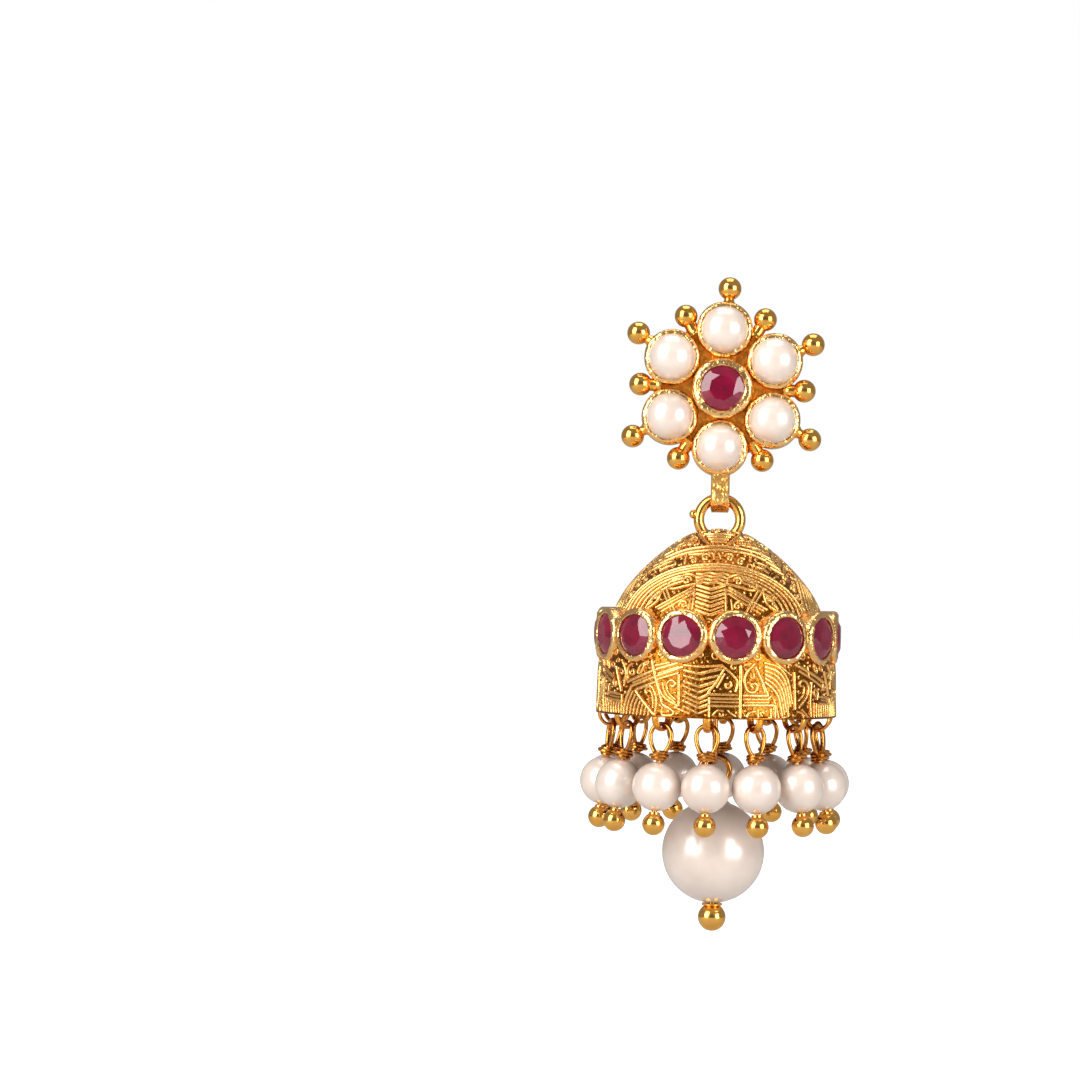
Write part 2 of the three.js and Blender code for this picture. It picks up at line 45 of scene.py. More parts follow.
# Rosette, heights measured forwards from its rear face
PETALS = 6
PETAL_CIRCLE = 5.42
PETAL_RIM = 2.6
PETAL_HEIGHT = 2.3
PETAL_PEARL = 2.14
PETAL_PEARL_RISE = 1.9
CENTRE_RIM = 2.77
CENTRE_HEIGHT = 3.0
CENTRE_RUBY = 2.1
PLATE_RADIUS = 6.3
PLATE_THICKNESS = 0.6
GOLD_BALL = 1.05
OUTER_BALL_CIRCLE = 9.26
GAP_BALL_CIRCLE = 7.5
BALL_HEIGHT = 1.15
ROSETTE_TURN = 1.3
OUTER_BALL_STRAY = [2.0, 1.6, -2.2, 0.0, 0.0, 1.7]
GAP_BALL_STRAY = [-0.6, -0.9, -1.6, 0.0, 1.4, 1.4]

# Hinges and the bell's crown
SWING = np.array([0.0, -1.35, -10.04])
EYE = np.array([0.0, -1.35, -15.48])
EYE_RADIUS = 1.0
EYE_WIRE = 0.3
BELL_Y = SWING[1]
CROWN_Z = -12.88
RING_RADIUS = 1.9
RING_WIRE = 0.48
BAIL_WIDTH = 1.7
BAIL_THICKNESS = 0.5
BAIL_INNER = 0.78

# Bell, measured down from its crown
BELL_HEIGHT = 16.9
BELL_RADIUS = 10.83
BELL_WALL = 0.6
FLANGE_THICKNESS = 0.6
FLANGE_INNER = 8.05
BELT_DROP = 9.7
BELT_COUNT = 14
BELT_FACE = 11.03
BELT_PITCH = 2 * math.pi / BELT_COUNT
BELT_TURN = math.radians(8.6)
BELT_RIM = 2.43
BELT_RUBY = 1.92

# Rim hooks and the dangles that hang on them
HOOK_CIRCLE = 9.55
HOOK_RADIUS = 1.15
HOOK_WIDTH = 0.68
HOOK_THICKNESS = 0.33
DANGLE_PEARL = 2.19
DANGLE_PEARL_DROP = 5.075
DANGLE_BALL = 1.0
DANGLE_BALL_DROP = 8.395
DANGLE_NECK_DROP = 2.1
DANGLE_WIRE = 0.2
DANGLE_LOOP_TOP = 0.495
DANGLE_LOOP_HEIGHT = 2.8
DANGLE_LOOP_WIDTH = 1.9
CROWD_LEAN = 6.86
SETTLING = [
    (0.6, -8), (0.0, 14), (1.6, 6), (0.3, -12), (1.1, 10), (0.0, -5), (1.8, 13),
    (0.4, -14), (1.3, 4), (0.2, 9), (0.9, -10), (0.0, 7), (1.5, -6), (0.5, 12),
]

# Middle drop, measured down from the wire at the top of its loop
LINK_LENGTH = 18.1
LINK_WIRE = 0.25
LINK_HALF_WIDTH = 0.75
LINK_PLAY = 0.12
DROP_LOOP = 1.35
DROP_WIRE = 0.25
DROP_PEARL = 4.66
DROP_PEARL_DROP = 8.75
DROP_NECK_DROP = 2.45
DROP_BALL = 1.27
DROP_BALL_DROP = 14.72
DROP_DISC_DROP = 13.42

# Section points of the bell's outside, as shares of its height and radius
BELL_SECTIONS = np.array([
    (0.0, 0.0), (0.008, 0.115), (0.03, 0.225), (0.093, 0.39), (0.188, 0.568), (0.272, 0.693), (0.358, 0.793),
    (0.46, 0.872), (0.574, 0.937), (0.722, 0.985), (0.86, 0.995), (1.0, 1.0),
])


# Shapes: each is a pair of arrays, points (n, 3) in millimetres and faces (m, 4) or (m, 3)


def grid(points, close_rows=False, close_columns=False):
    """Four-sided faces over a grid of points (rows, columns, 3), joined round where a direction closes."""
    rows, columns = points.shape[:2]
    index = np.arange(rows * columns).reshape(rows, columns)
    if close_rows:
        index = np.vstack([index, index[:1]])
    if close_columns:
        index = np.hstack([index, index[:, :1]])
    faces = np.stack([index[:-1, :-1], index[:-1, 1:], index[1:, 1:], index[1:, :-1]], axis=-1)
    return points.reshape(-1, 3), [faces.reshape(-1, 4)]


def joined(*shapes):
    """Several shapes as one, their faces numbered on."""
    points, faces, start = [], [], 0
    for shape_points, shape_faces in shapes:
        points.append(shape_points)
        faces += [f + start for f in shape_faces]
        start += len(shape_points)
    return np.vstack(points), faces


def volume(shape):
    """Sum over the faces, as fans of triangles, of the signed volume of each with the origin."""
    points, faces = shape
    total = 0.0
    for group in faces:
        a = points[group[:, 0]]
        for k in range(1, group.shape[1] - 1):
            b, c = points[group[:, k]], points[group[:, k + 1]]
            total += np.einsum("ij,ij->", a, np.cross(b, c))
    return total


def outward(shape):
    """The shape with its faces turned to look outwards, judged by the sign of its volume."""
    points, faces = shape
    if volume(shape) < 0:
        faces = [f[:, ::-1] for f in faces]
    return points, faces


def fan(ring, tip):
    """Triangles from a ring of point numbers to one tip point."""
    return np.stack([ring, np.roll(ring, -1), np.full(len(ring), tip)], axis=-1)


def turned(profile, sides, ring=False):
    """A profile of (radius, height) rows turned round Z: x = radius sin a, y = -radius cos a, z = height.

    A ring's profile closes on itself, and any other starts and ends on the axis.
    """
    profile = np.asarray(profile, float)
    angle = np.arange(sides) * 2 * np.pi / sides
    body = profile if ring else profile[1:-1]
    radius, height = body[:, :1], body[:, 1:]
    points = np.stack([radius * np.sin(angle), -radius * np.cos(angle), height + 0 * angle], axis=-1)
    flat, faces = grid(points, close_rows=ring, close_columns=True)
    if not ring:
        count = len(flat)
        flat = np.vstack([flat, [0, 0, profile[0, 1]], [0, 0, profile[-1, 1]]])
        first, last = np.arange(sides), np.arange(sides) + count - sides
        faces += [fan(first, count)[:, ::-1], fan(last, count + 1)]
    return outward((flat, faces))


def carried(path, normal, section, close=False):
    """A section of (across, out) rows carried along a path: point + across * (normal x tangent) + out * normal."""
    if close:
        along = np.roll(path, -1, axis=0) - np.roll(path, 1, axis=0)
    else:
        along = np.gradient(path, axis=0)
    along /= np.linalg.norm(along, axis=1, keepdims=True)
    normal = normal - np.sum(normal * along, axis=1, keepdims=True) * along
    normal /= np.linalg.norm(normal, axis=1, keepdims=True)
    across = np.cross(normal, along)
    section = np.asarray(section, float)
    points = path[:, None] + section[:, :1] * across[:, None] + section[:, 1:] * normal[:, None]
    flat, faces = grid(points, close_rows=close, close_columns=True)
    if not close:
        count, sides = len(flat), len(section)
        flat = np.vstack([flat, points[0].mean(axis=0), points[-1].mean(axis=0)])
        first, last = np.arange(sides), np.arange(sides) + count - sides
        faces += [fan(first, count)[:, ::-1], fan(last, count + 1)]
    return outward((flat, faces))


def circle(radius, sides):
    """Points (x, y) of a circle."""
    angle = np.arange(sides) * 2 * np.pi / sides
    return radius * np.stack([np.cos(angle), np.sin(angle)], axis=-1)


def wire(path, radius, close=False, sides=10, normal=(0.0, 1.0, 0.0)):
    """Round wire along a path, its section a circle."""
    path = np.asarray(path, float)
    return carried(path, np.tile(np.array(normal, float), (len(path), 1)), circle(radius, sides), close)


def arc(radius, height, size, start, end, steps):
    """Profile rows of an arc round (radius, height), angles in degrees from outwards."""
    angle = np.radians(np.linspace(start, end, steps + 1))
    return np.stack([radius + size * np.cos(angle), height + size * np.sin(angle)], axis=-1)


def ball(radius, height=0.0, sides=32):
    """A ball on the Z axis."""
    return turned(arc(0, height, radius, -90, 90, sides // 2), sides)


def smooth_through(points, steps):
    """A Catmull-Rom curve through points, steps to a stretch: cubic, slope set by each point's neighbours."""
    points = np.asarray(points, float)
    ends = np.vstack([2 * points[0] - points[1], points, 2 * points[-1] - points[-2]])
    t = np.linspace(0, 1, steps, endpoint=False)[:, None]
    parts = []
    for a, b, c, d in zip(ends, ends[1:], ends[2:], ends[3:]):
        parts.append(0.5 * (2 * b + (c - a) * t + (2 * a - 5 * b + 4 * c - d) * t**2
                            + (3 * b - a - 3 * c + d) * t**3))
    return np.vstack([*parts, points[-1:]])


def turn(shape, axis, degrees):
    """The shape turned about an axis through the origin, by the right-hand rule."""
    points, faces = shape
    c, s = math.cos(math.radians(degrees)), math.sin(math.radians(degrees))
    matrix = {
        "x": [[1, 0, 0], [0, c, -s], [0, s, c]],
        "y": [[c, 0, s], [0, 1, 0], [-s, 0, c]],
        "z": [[c, -s, 0], [s, c, 0], [0, 0, 1]],
    }[axis]
    return points @ np.array(matrix).T, faces


def moved(shape, x=0.0, y=0.0, z=0.0):
    """The shape moved."""
    return shape[0] + np.array([x, y, z]), shape[1]


def to_front(shape):
    """The shape turned so that what pointed up points out of the front, along -Y."""
    return turn(shape, "x", 90)


def linked(name, data):
    """A new object of some data, linked into the scene."""
    made = bpy.data.objects.new(name, data)
    bpy.context.scene.collection.objects.link(made)
    return made


def mesh_object(name, shape, material):
    """A Blender object from a shape, in one material."""
    points, faces = shape
    mesh = bpy.data.meshes.new(name)
    mesh.from_pydata((points * MM).tolist(), [], [face for group in faces for face in group.tolist()])
    mesh.update()
    mesh.materials.append(material)
    return linked(name, mesh)


def put_piece(name, shape, material, body, nodes=(), sharp=40.0):
    """A piece from a shape, smooth but for edges sharper than an angle, riding on a body."""
    piece = mesh_object(name, shape, material)
    if sharp:
        piece.data.polygons.foreach_set("use_smooth", np.ones(len(piece.data.polygons), bool))
        piece.data.set_sharp_from_angle(angle=math.radians(sharp))
    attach(piece, body)
    if nodes:
        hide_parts(*nodes)
    return piece


# Materials


def linear(colour):
    """An sRGB hex colour as linear RGBA."""
    channels = [int(colour[i:i + 2], 16) / 255 for i in (1, 3, 5)]
    return [c / 12.92 if c <= 0.04045 else ((c + 0.055) / 1.055) ** 2.4 for c in channels] + [1.0]


def add(tree, kind, values=None, links=None, **settings):
    """A node of a kind in a tree, with its settings, its inputs' values and its inputs' links."""
    node = tree.nodes.new(kind)
    for key, value in settings.items():
        setattr(node, key, value)
    for key, value in (values or {}).items():
        node.inputs[key].default_value = value
    for key, output in (links or {}).items():
        tree.links.new(output, node.inputs[key])
    return node


def surface(name, values):
    """A new material with one Principled shader and its set values."""
    material = bpy.data.materials.new(name)
    material.use_nodes = True
    tree = material.node_tree
    tree.nodes.clear()
    shader = add(tree, "ShaderNodeBsdfPrincipled", values)
    add(tree, "ShaderNodeOutputMaterial", links={"Surface": shader.outputs["BSDF"]})
    return material, tree, shader


def grain(tree, size_mm, detail=3.0):
    """Noise whose grains are about size_mm across, on Object coordinates."""
    place = add(tree, "ShaderNodeTexCoord")
    return add(tree, "ShaderNodeTexNoise", {"Scale": 1 / (size_mm * MM), "Detail": detail},
               {"Vector": place.outputs["Object"]})


def ramp(tree, factor, colours, places=(0.3, 0.7)):
    """A colour ramp over a factor, from one colour to another between two places."""
    node = add(tree, "ShaderNodeValToRGB", links={"Fac": factor})
    for stop, position, colour in zip(node.color_ramp.elements, places, colours):
        stop.position = position
        stop.color = linear(colour)
    return node


def tinted(tree, shader, factor, colours, socket="Base Color"):
    """Runs an input of a shader between two colours by a factor."""
    tree.links.new(ramp(tree, factor, colours).outputs["Color"], shader.inputs[socket])


def dents(tree, shader, height, distance_mm):
    """Bump on a shader from a height, its full depth given in millimetres."""
    bump = add(tree, "ShaderNodeBump", {"Strength": 1.0, "Distance": distance_mm * MM}, {"Height": height})
    tree.links.new(bump.outputs["Normal"], shader.inputs["Normal"])


def grained_metal(name, roughness, size_mm, detail, colours, depth_mm):
    """A metal whose tint and dents follow one grain."""
    material, tree, shader = surface(name, {"Metallic": 1.0, "Roughness": roughness})
    skin = grain(tree, size_mm, detail).outputs["Fac"]
    tinted(tree, shader, skin, colours)
    dents(tree, shader, skin, depth_mm)
    return material


def cast_ground():
    """Ground of the cast relief: gold painted dark brown as the shade in the channels between the ridges, and
    matt.
    """
    material, tree, shader = surface("cast gold ground with painted channel shade", {"Metallic": 1.0})
    pits = grain(tree, 0.35).outputs["Fac"]
    # Dark brown tint, varied by the grain: painted shade of the channels
    tinted(tree, shader, pits, ("#6E380A", "#A8691F"))
    tinted(tree, shader, pits, ("#9A9A9A", "#707070"), "Roughness")
    dents(tree, shader, pits, 0.07)
    return material


def nacre():
    """Pearl: creamy body with a pink tinge under a clear lustrous skin."""
    material, tree, shader = surface("nacre", {
        "Metallic": 0.1, "Roughness": 0.3, "IOR": 1.6,
        "Subsurface Weight": 0.2, "Subsurface Scale": 0.5 * MM, "Subsurface Radius": (1.0, 0.7, 0.55),
        "Coat Weight": 1.0, "Coat Roughness": 0.27, "Coat IOR": 2.0, "Coat Tint": linear("#F6EDE5"),
    })
    tinted(tree, shader, grain(tree, 2.5).outputs["Fac"], ("#E6DAD3", "#F0E8E1"))
    dents(tree, shader, grain(tree, 0.5).outputs["Fac"], 0.012)
    return material


def ruby():
    """Cut ruby: deep magenta red body, bright polished facets."""
    values = {"Roughness": 0.03, "IOR": 1.77, "Specular IOR Level": 0.3, "Transmission Weight": 0.45}
    material, tree, shader = surface("cut ruby", values)
    tinted(tree, shader, grain(tree, 1.2).outputs["Fac"], ("#80042C", "#A6083E"))
    return material


# Yellow plate, buffed: mirror-bright with faint hand-polishing waves
GOLD = grained_metal("polished gold plate", 0.13, 1.4, 3.0, ("#F0AC4E", "#F8BE62"), 0.05)
# Hand-pushed settings: paler, with small facets left by the pusher
SETTING = grained_metal("hammered gold setting", 0.2, 0.55, 2.0, ("#F4B868", "#FBCF90"), 0.17)
# Folded strap: beaten flat, its broad dents catch the lamps on a slightly matt skin
STRAP = grained_metal("beaten gold strap", 0.32, 0.8, 1.5, ("#F4AC48", "#FFCF80"), 0.4)
# Rosette's plate and the rim hooks: warm, unpolished, with the grain of the solder flux
PLATE = grained_metal("warm satin gold plate", 0.34, 0.5, 3.0, ("#E88E2E", "#FBB650"), 0.14)
# Bell's ground: dark brown gold, painted shade between the relief's ridges
GROUND = cast_ground()
# Raised lines of the cast relief: paler gold all over, a painted highlight, slightly grainy from the casting
RELIEF = grained_metal("cast gold relief with painted highlight", 0.27, 0.3, 3.0, ("#F4B860", "#FDD088"), 0.05)
# Drawn wire of the dangles: redder than the plate, lightly scratched by winding
WIRE = grained_metal("coppery drawn gold wire", 0.22, 0.25, 3.0, ("#C47A30", "#DE9A4A"), 0.012)
NACRE = nacre()
RUBY = ruby()


# Rosette


def clock(shape, circle_radius, angle):
    """A shape moved out from the rosette's centre along a clock angle, 0 upwards and +X first."""
    return moved(shape, x=math.sin(angle) * circle_radius, z=math.cos(angle) * circle_radius)


def pushed_rim(angle, seed, depth):
    """Uneven edge of a hand-pushed rim: three sines of fixed phase, as a share of depth."""
    rng = np.random.default_rng(seed)
    phases = rng.uniform(0, 2 * np.pi, 3)
    turns = (3, 5, 8)
    return depth * sum(np.sin(n * angle + p) / (k + 1.5) for k, (n, p) in enumerate(zip(turns, phases)))


def collet(outer, inner, height, seat, seed, root, sides=72):
    """A closed setting: a wall whose rim slopes in to the stone and is pushed over it unevenly.

    The profile is turned round Z, then each rim row is moved in and down by the uneven edge.
    """
    rows = np.array([
        (inner, root + 0.1), (outer - 0.05, root), (outer, root + 0.06), (outer, height - 0.42),
        (outer - 0.04, height - 0.24), (outer - 0.14, height - 0.1), (outer - 0.3, height - 0.01),
        (inner + 0.06, height), (inner, height - 0.06), (inner, seat),
    ])
    points, faces = turned(rows, sides, ring=True)
    shape = points.reshape(len(rows), sides, 3)
    angle = np.arange(sides) * 2 * np.pi / sides
    push = pushed_rim(angle, seed, 0.06)
    weight = np.array([0, 0, 0, 0.3, 0.6, 0.8, 1.0, 1.0, 0.6, 0])[:, None]
    scale = 1 + weight * push / outer
    shape = np.stack([shape[..., 0] * scale, shape[..., 1] * scale, shape[..., 2] - weight * np.abs(push)], -1)
    return outward((shape.reshape(-1, 3), faces))


def floor_disc(radius, low, high, sides=48):
    """A plain disc between two heights."""
    return turned([(0, low), (radius, low), (radius, high), (0, high)], sides)


def neck(radius, start, end, sides=20):
    """A short neck along Z that widens softly at its root."""
    return turned([(0, start), (radius * 1.5, start), (radius * 1.1, start + 0.25), (radius, start + 0.5),
                   (radius, end), (0, end)], sides)


def rosette_metal():
    """Plate, collets with their floors, balls and necks."""
    plate = to_front(floor_disc(PLATE_RADIUS, 0.0, PLATE_THICKNESS, 96))
    settings = [to_front(collet(CENTRE_RIM, CENTRE_RUBY - 0.05, CENTRE_HEIGHT, 1.2, 1, root=0.05))]
    settings.append(to_front(floor_disc(CENTRE_RUBY, 0.3, 1.3)))
    balls = []
    for i in range(PETALS):
        angle = i * 2 * math.pi / PETALS
        rim = collet(PETAL_RIM - 0.02, PETAL_PEARL - 0.06, PETAL_HEIGHT, 0.7, 2 + i, root=0.05)
        settings += [clock(to_front(rim), PETAL_CIRCLE, angle),
                     clock(to_front(floor_disc(PETAL_PEARL, 0.1, 0.8)), PETAL_CIRCLE, angle)]
        spots = [(GAP_BALL_CIRCLE, 5.6, 0.58, angle + math.pi / PETALS + math.radians(GAP_BALL_STRAY[i]))]
        if i != PETALS // 2:
            spots.append((OUTER_BALL_CIRCLE, 7.85, 0.44, angle + math.radians(OUTER_BALL_STRAY[i])))
        for ball_circle, start, thickness, clock_angle in spots:
            for part in (neck(thickness, start, ball_circle), ball(GOLD_BALL, ball_circle, 40)):
                balls.append(turn(moved(part, y=-BALL_HEIGHT), "y", math.degrees(clock_angle)))
    return plate, settings, balls


def bail_strap():
    """Folded strap: a flat section carried round the ring's wire and up its two legs to the rosette."""
    middle = BAIL_INNER + BAIL_THICKNESS / 2
    turned_part = arc(0, 0, middle, 165, 375, 28)
    legs_top = 2.3
    right = [(0.52, legs_top), (0.62, 1.5), (0.86, 0.75)]
    left = [(-x, z) for x, z in right]
    outline = smooth_through([*left, *turned_part[::4], *right[::-1]], 6)
    path = np.stack([np.zeros(len(outline)), outline[:, 0], outline[:, 1]], axis=-1) + SWING
    normal = np.tile([1.0, 0.0, 0.0], (len(path), 1))
    half, thick = BAIL_WIDTH / 2, BAIL_THICKNESS / 2
    across = np.linspace(-1, 1, 13)
    outer = np.stack([thick - 0.2 * across**2, half * across], axis=-1)
    section = np.vstack([outer, [(-thick, half - 0.1), (-thick, 0.1 - half)]])
    return carried(path, normal, section)


def brilliant(radius, table=0.57, crown=0.27, pavilion=0.38, girdle=0.05):
    """A round cut stone, girdle at 0, of flat facets between rings of corners.

    Eight corners round the table, eight between them on the crown, sixteen on each edge of the girdle, eight
    on the pavilion, and single points in the middle of the table and at the very bottom.
    """
    eight = np.arange(8) * np.pi / 4
    sixteen = np.arange(16) * np.pi / 8
    half = np.pi / 8

    def ring(r, z, angles):
        return np.stack([r * np.sin(angles), -r * np.cos(angles), np.full(len(angles), z)], axis=-1)

    table_ring = ring(table * radius, crown * radius, eight)
    star_ring = ring(0.78 * radius, 0.62 * crown * radius, eight + half)
    top_ring = ring(radius, girdle * radius, sixteen)
    low_ring = ring(radius, -girdle * radius, sixteen)
    pit_ring = ring(0.45 * radius, -0.68 * pavilion * radius, eight)
    tips = np.array([[0, 0, crown * radius], [0, 0, -pavilion * radius]])
    points = np.vstack([table_ring, star_ring, top_ring, low_ring, pit_ring, tips])
    t, s, g, w, p = np.arange(8), 8 + np.arange(8), 16 + np.arange(16), 32 + np.arange(16), 48 + np.arange(8)
    after = np.roll(np.arange(8), -1)
    before = np.roll(np.arange(8), 1)
    straight, middle = g[0::2], g[1::2]
    low_straight, low_middle = w[0::2], w[1::2]
    triangles = [
        np.stack([t, t[after], np.full(8, 56)], -1),
        np.stack([t, s, t[after]], -1),
        np.stack([s, middle, straight[after]], -1),
        np.stack([s, straight, middle], -1),
        np.stack([p, low_middle[before], low_straight], -1),
        np.stack([p, low_straight, low_middle], -1),
    ]
    kites = np.stack([t, s[before], straight, s], -1)
    band = np.stack([g, w, np.roll(w, -1), np.roll(g, -1)], -1)
    lower = np.stack([p, low_middle, p[after], np.full(8, 57)], -1)
    return points, [*triangles, kites, band, lower]


def half_pearl():
    """A half pearl, widest a little below its setting's rim: an ellipse over a flat base, turned."""
    wide = PETAL_HEIGHT - 0.25
    angle = np.radians(np.linspace(0, 90, 15))
    dome = np.stack([PETAL_PEARL * np.cos(angle), wide + PETAL_PEARL_RISE * np.sin(angle)], axis=-1)
    return turned([(0, 0.9), (PETAL_PEARL - 0.3, 0.9), (PETAL_PEARL - 0.08, 1.3), *dome], 48)


def ear_post():
    """Round foot and plain post with a rounded tip, behind the rosette."""
    rows = [(0, 0.1), (1.55, 0.1), (1.6, 0.15), (1.6, 0.5), (1.5, 0.6), (0.62, 0.62), (0.46, 0.8), (0.45, 1.0),
            (0.45, 9.4), (0.36, 9.55), (0.36, 9.75), (0.45, 9.9), (0.45, 10.7), (0.3, 10.95), (0, 11.0)]
    return turn(turned(rows, 32), "x", -90)


def set_on_ear(shape):
    """The rosette's small turn of its own about the post."""
    return turn(shape, "y", ROSETTE_TURN)


def build_rosette():
    """The rosette's pieces on the body that is pinned to the ear."""
    body = "rosette_body"
    plate, settings, balls = rosette_metal()
    put_piece("rosette_settings", set_on_ear(joined(*settings)), SETTING, body, ["rosette"])
    put_piece("rosette_plate", set_on_ear(plate), PLATE, body)
    put_piece("rosette_balls", set_on_ear(joined(*balls)), GOLD, body)
    put_piece("rosette_bail", bail_strap(), STRAP, body)
    put_piece("ear_post_visual", ear_post(), GOLD, body, ["ear_post"])
    stone = to_front(turn(brilliant(CENTRE_RUBY - 0.02, pavilion=0.55), "z", 12))
    put_piece("rosette_ruby_visual", moved(stone, y=-(CENTRE_HEIGHT - 0.336)), RUBY, body,
              ["rosette_ruby"], sharp=0)
    for i in range(PETALS):
        dome = clock(to_front(half_pearl()), PETAL_CIRCLE, i * 2 * math.pi / PETALS)
        node = f"rosette_pearl_{i + 1}"
        put_piece(f"{node}_visual", set_on_ear(dome), NACRE, body, [node])


# Bell


OUTLINE = smooth_through(BELL_SECTIONS[:, ::-1] * [BELL_RADIUS, -BELL_HEIGHT], 8)
OUTLINE[:, 0] = np.maximum(OUTLINE[:, 0], 0)
MERIDIAN = np.concatenate([[0], np.cumsum(np.linalg.norm(np.diff(OUTLINE, axis=0), axis=1))])


def on_bell(shape):
    """A shape made round the Z axis, with the crown at height 0, in its place on the bell."""
    return moved(shape, y=BELL_Y, z=CROWN_Z)


def bell_shell():
    """Dome, skirt, lip and flange: the outline turned, with the same outline moved in for the hollow."""
    rise = 0.13
    lip_top = 0.2 - BELL_HEIGHT
    outside = OUTLINE[::-1]
    outside = outside[outside[:, 1] > lip_top]
    lip = [(BELL_RADIUS + rise, lip_top - 0.05), (BELL_RADIUS + rise, -BELL_HEIGHT + 0.05),
           (BELL_RADIUS + rise - 0.05, -BELL_HEIGHT)]
    along = np.gradient(OUTLINE, axis=0)
    along /= np.linalg.norm(along, axis=1, keepdims=True)
    inner = OUTLINE + BELL_WALL * np.stack([along[:, 1], -along[:, 0]], axis=-1)
    inner[:, 0] = np.maximum(inner[:, 0], 0)
    inner = inner[inner[:, 1] > FLANGE_THICKNESS + 0.5 - BELL_HEIGHT]
    flange_top = FLANGE_THICKNESS - BELL_HEIGHT
    flange = [(inner[-1, 0], flange_top), (FLANGE_INNER + 0.05, flange_top), (FLANGE_INNER, flange_top - 0.05),
              (FLANGE_INNER, 0.05 - BELL_HEIGHT), (FLANGE_INNER + 0.05, -BELL_HEIGHT)]
    inner[0] = (0.0, -BELL_WALL)
    rows = np.vstack([inner, flange, lip[::-1], outside])
    return on_bell(turned(rows, 168))


# Bell relief: lines drawn in charts of the bell's surface and carried round it as rounded ridges


RIDGE_HEIGHT = 0.15
RIDGE_ROOT = 0.05
RIDGE_STEP = 0.17
THIN, LIGHT, PLAIN, BOLD, HEAVY = 0.2, 0.22, 0.25, 0.32, 0.36
PANEL_TURNS = (0.0, 120.0, 240.0)
DOME_CENTRE = math.degrees(BELT_TURN - BELT_PITCH / 2)


def curve(*points):
    """A smooth line through points of a chart."""
    return smooth_through(points, 7)


def line(*points):
    """A line with corners in a chart."""
    return np.array(points, float)


def scroll(x, y, radius, start, turns=1.4, hand=1):
    """A spiral from its outer end inwards: radius falls evenly to a fifth while the angle turns.

    A small one has fewer turns, so that a gap stays between them.
    """
    turns = min(turns, 2.9 * radius) if radius < 1 else turns
    t = np.linspace(0, 1, int(18 * turns) + 2)
    angle = math.radians(start) + hand * 2 * np.pi * turns * t
    reach = radius * (1 - 0.8 * t)
    return np.stack([x + reach * np.cos(angle), y + reach * np.sin(angle)], axis=-1)


def oval(x, y, wide, high, tilt):
    """A closed oval in a chart, tilted."""
    angle = np.linspace(0, 2 * np.pi, 25)
    c, s = math.cos(math.radians(tilt)), math.sin(math.radians(tilt))
    across, up = wide * np.cos(angle), high * np.sin(angle)
    return np.stack([x + across * c - up * s, y + across * s + up * c], axis=-1)


def mirrored(hand, points):
    """Points of a chart, with x turned over for the left hand."""
    return [(hand * x, drop) for x, drop in points]


def drawn(kind, width, *rows):
    """Lines of one kind and width, one for each row of what that kind is made from."""
    return [(kind(*row), width) for row in rows]


def between(first, last, count):
    """Lines spread evenly from one to another, both given by the same number of points."""
    first, last = np.array(first, float), np.array(last, float)
    return [first + (last - first) * k / (count - 1) for k in range(count)]


def dense(path, step):
    """A path with points evenly spaced along it, about a step apart."""
    length = np.concatenate([[0], np.cumsum(np.linalg.norm(np.diff(path, axis=0), axis=1))])
    count = max(3, int(length[-1] / step) + 2)
    even = np.linspace(0, length[-1], count)
    return np.stack([np.interp(even, length, path[:, i]) for i in range(path.shape[1])], axis=-1)


def on_dome(path):
    """Dome chart, x across as seen from the panel's front and drop below the crown, as (degrees, drop)."""
    radius = np.interp(path[:, 1], -OUTLINE[:, 1], OUTLINE[:, 0])
    return np.stack([np.degrees(np.arcsin(np.clip(path[:, 0] / radius, -0.999, 0.999))), path[:, 1]], axis=-1)


def on_skirt(path):
    """Skirt chart, x along the belly and height above the rim, as (degrees, drop)."""
    return np.stack([np.degrees(path[:, 0] / BELL_RADIUS), BELL_HEIGHT - path[:, 1]], axis=-1)


def spot(path, azimuth=0.0):
    """Points on the bell's outside for (degrees, drop) rows turned by an azimuth."""
    angle = np.radians(path[:, 0] + azimuth)
    radius = np.interp(path[:, 1], -OUTLINE[:, 1], OUTLINE[:, 0])
    return np.stack([radius * np.sin(angle), -radius * np.cos(angle), -path[:, 1]], axis=-1)


def ridge(path, width, azimuth):
    """A rounded ridge along a path of (degrees, drop) on the bell, its section half round and sunk at its foot."""
    track = dense(spot(path, azimuth), RIDGE_STEP)
    around = np.hypot(track[:, 0], track[:, 1])
    slope = np.gradient(OUTLINE, axis=0)
    run = np.interp(-track[:, 2], -OUTLINE[:, 1], slope[:, 0] / np.hypot(*slope.T))
    fall = np.interp(-track[:, 2], -OUTLINE[:, 1], -slope[:, 1] / np.hypot(*slope.T))
    normal = np.stack([fall * track[:, 0] / around, fall * track[:, 1] / around, run], axis=-1)
    half, top = width / 2, RIDGE_HEIGHT * min(1.0, width / 0.26)
    section = [(-half, -RIDGE_ROOT), (half, -RIDGE_ROOT), (0.85 * half, 0.6 * top), (0.35 * half, top),
               (-0.35 * half, top), (-0.85 * half, 0.6 * top)]
    return carried(track, normal, section)


def arches():
    """Nested arches of the dome panel: superellipses over the azimuth and the way down the meridian.

    The three outer ones are whole, and the inner three stop where the leaf frames begin.
    """
    foot = 12.9
    lines = []
    for k in range(6):
        half_width, apex = 58.5 - 3.7 * k, 7.3 + 0.34 * k
        spans = [(0, np.pi)] if k < 3 else [(0, 1.12), (np.pi - 1.12, np.pi)]
        for start, end in spans:
            t = np.linspace(start, end, 60)
            across = half_width * np.sign(np.cos(t)) * np.abs(np.cos(t)) ** (2 / 2.2)
            way = foot - (foot - apex) * np.sin(t) ** (2 / 2.2)
            drop = np.interp(way, MERIDIAN, -OUTLINE[:, 1])
            lines.append((np.stack([across, drop], axis=-1), HEAVY if k == 0 else PLAIN))
    return lines


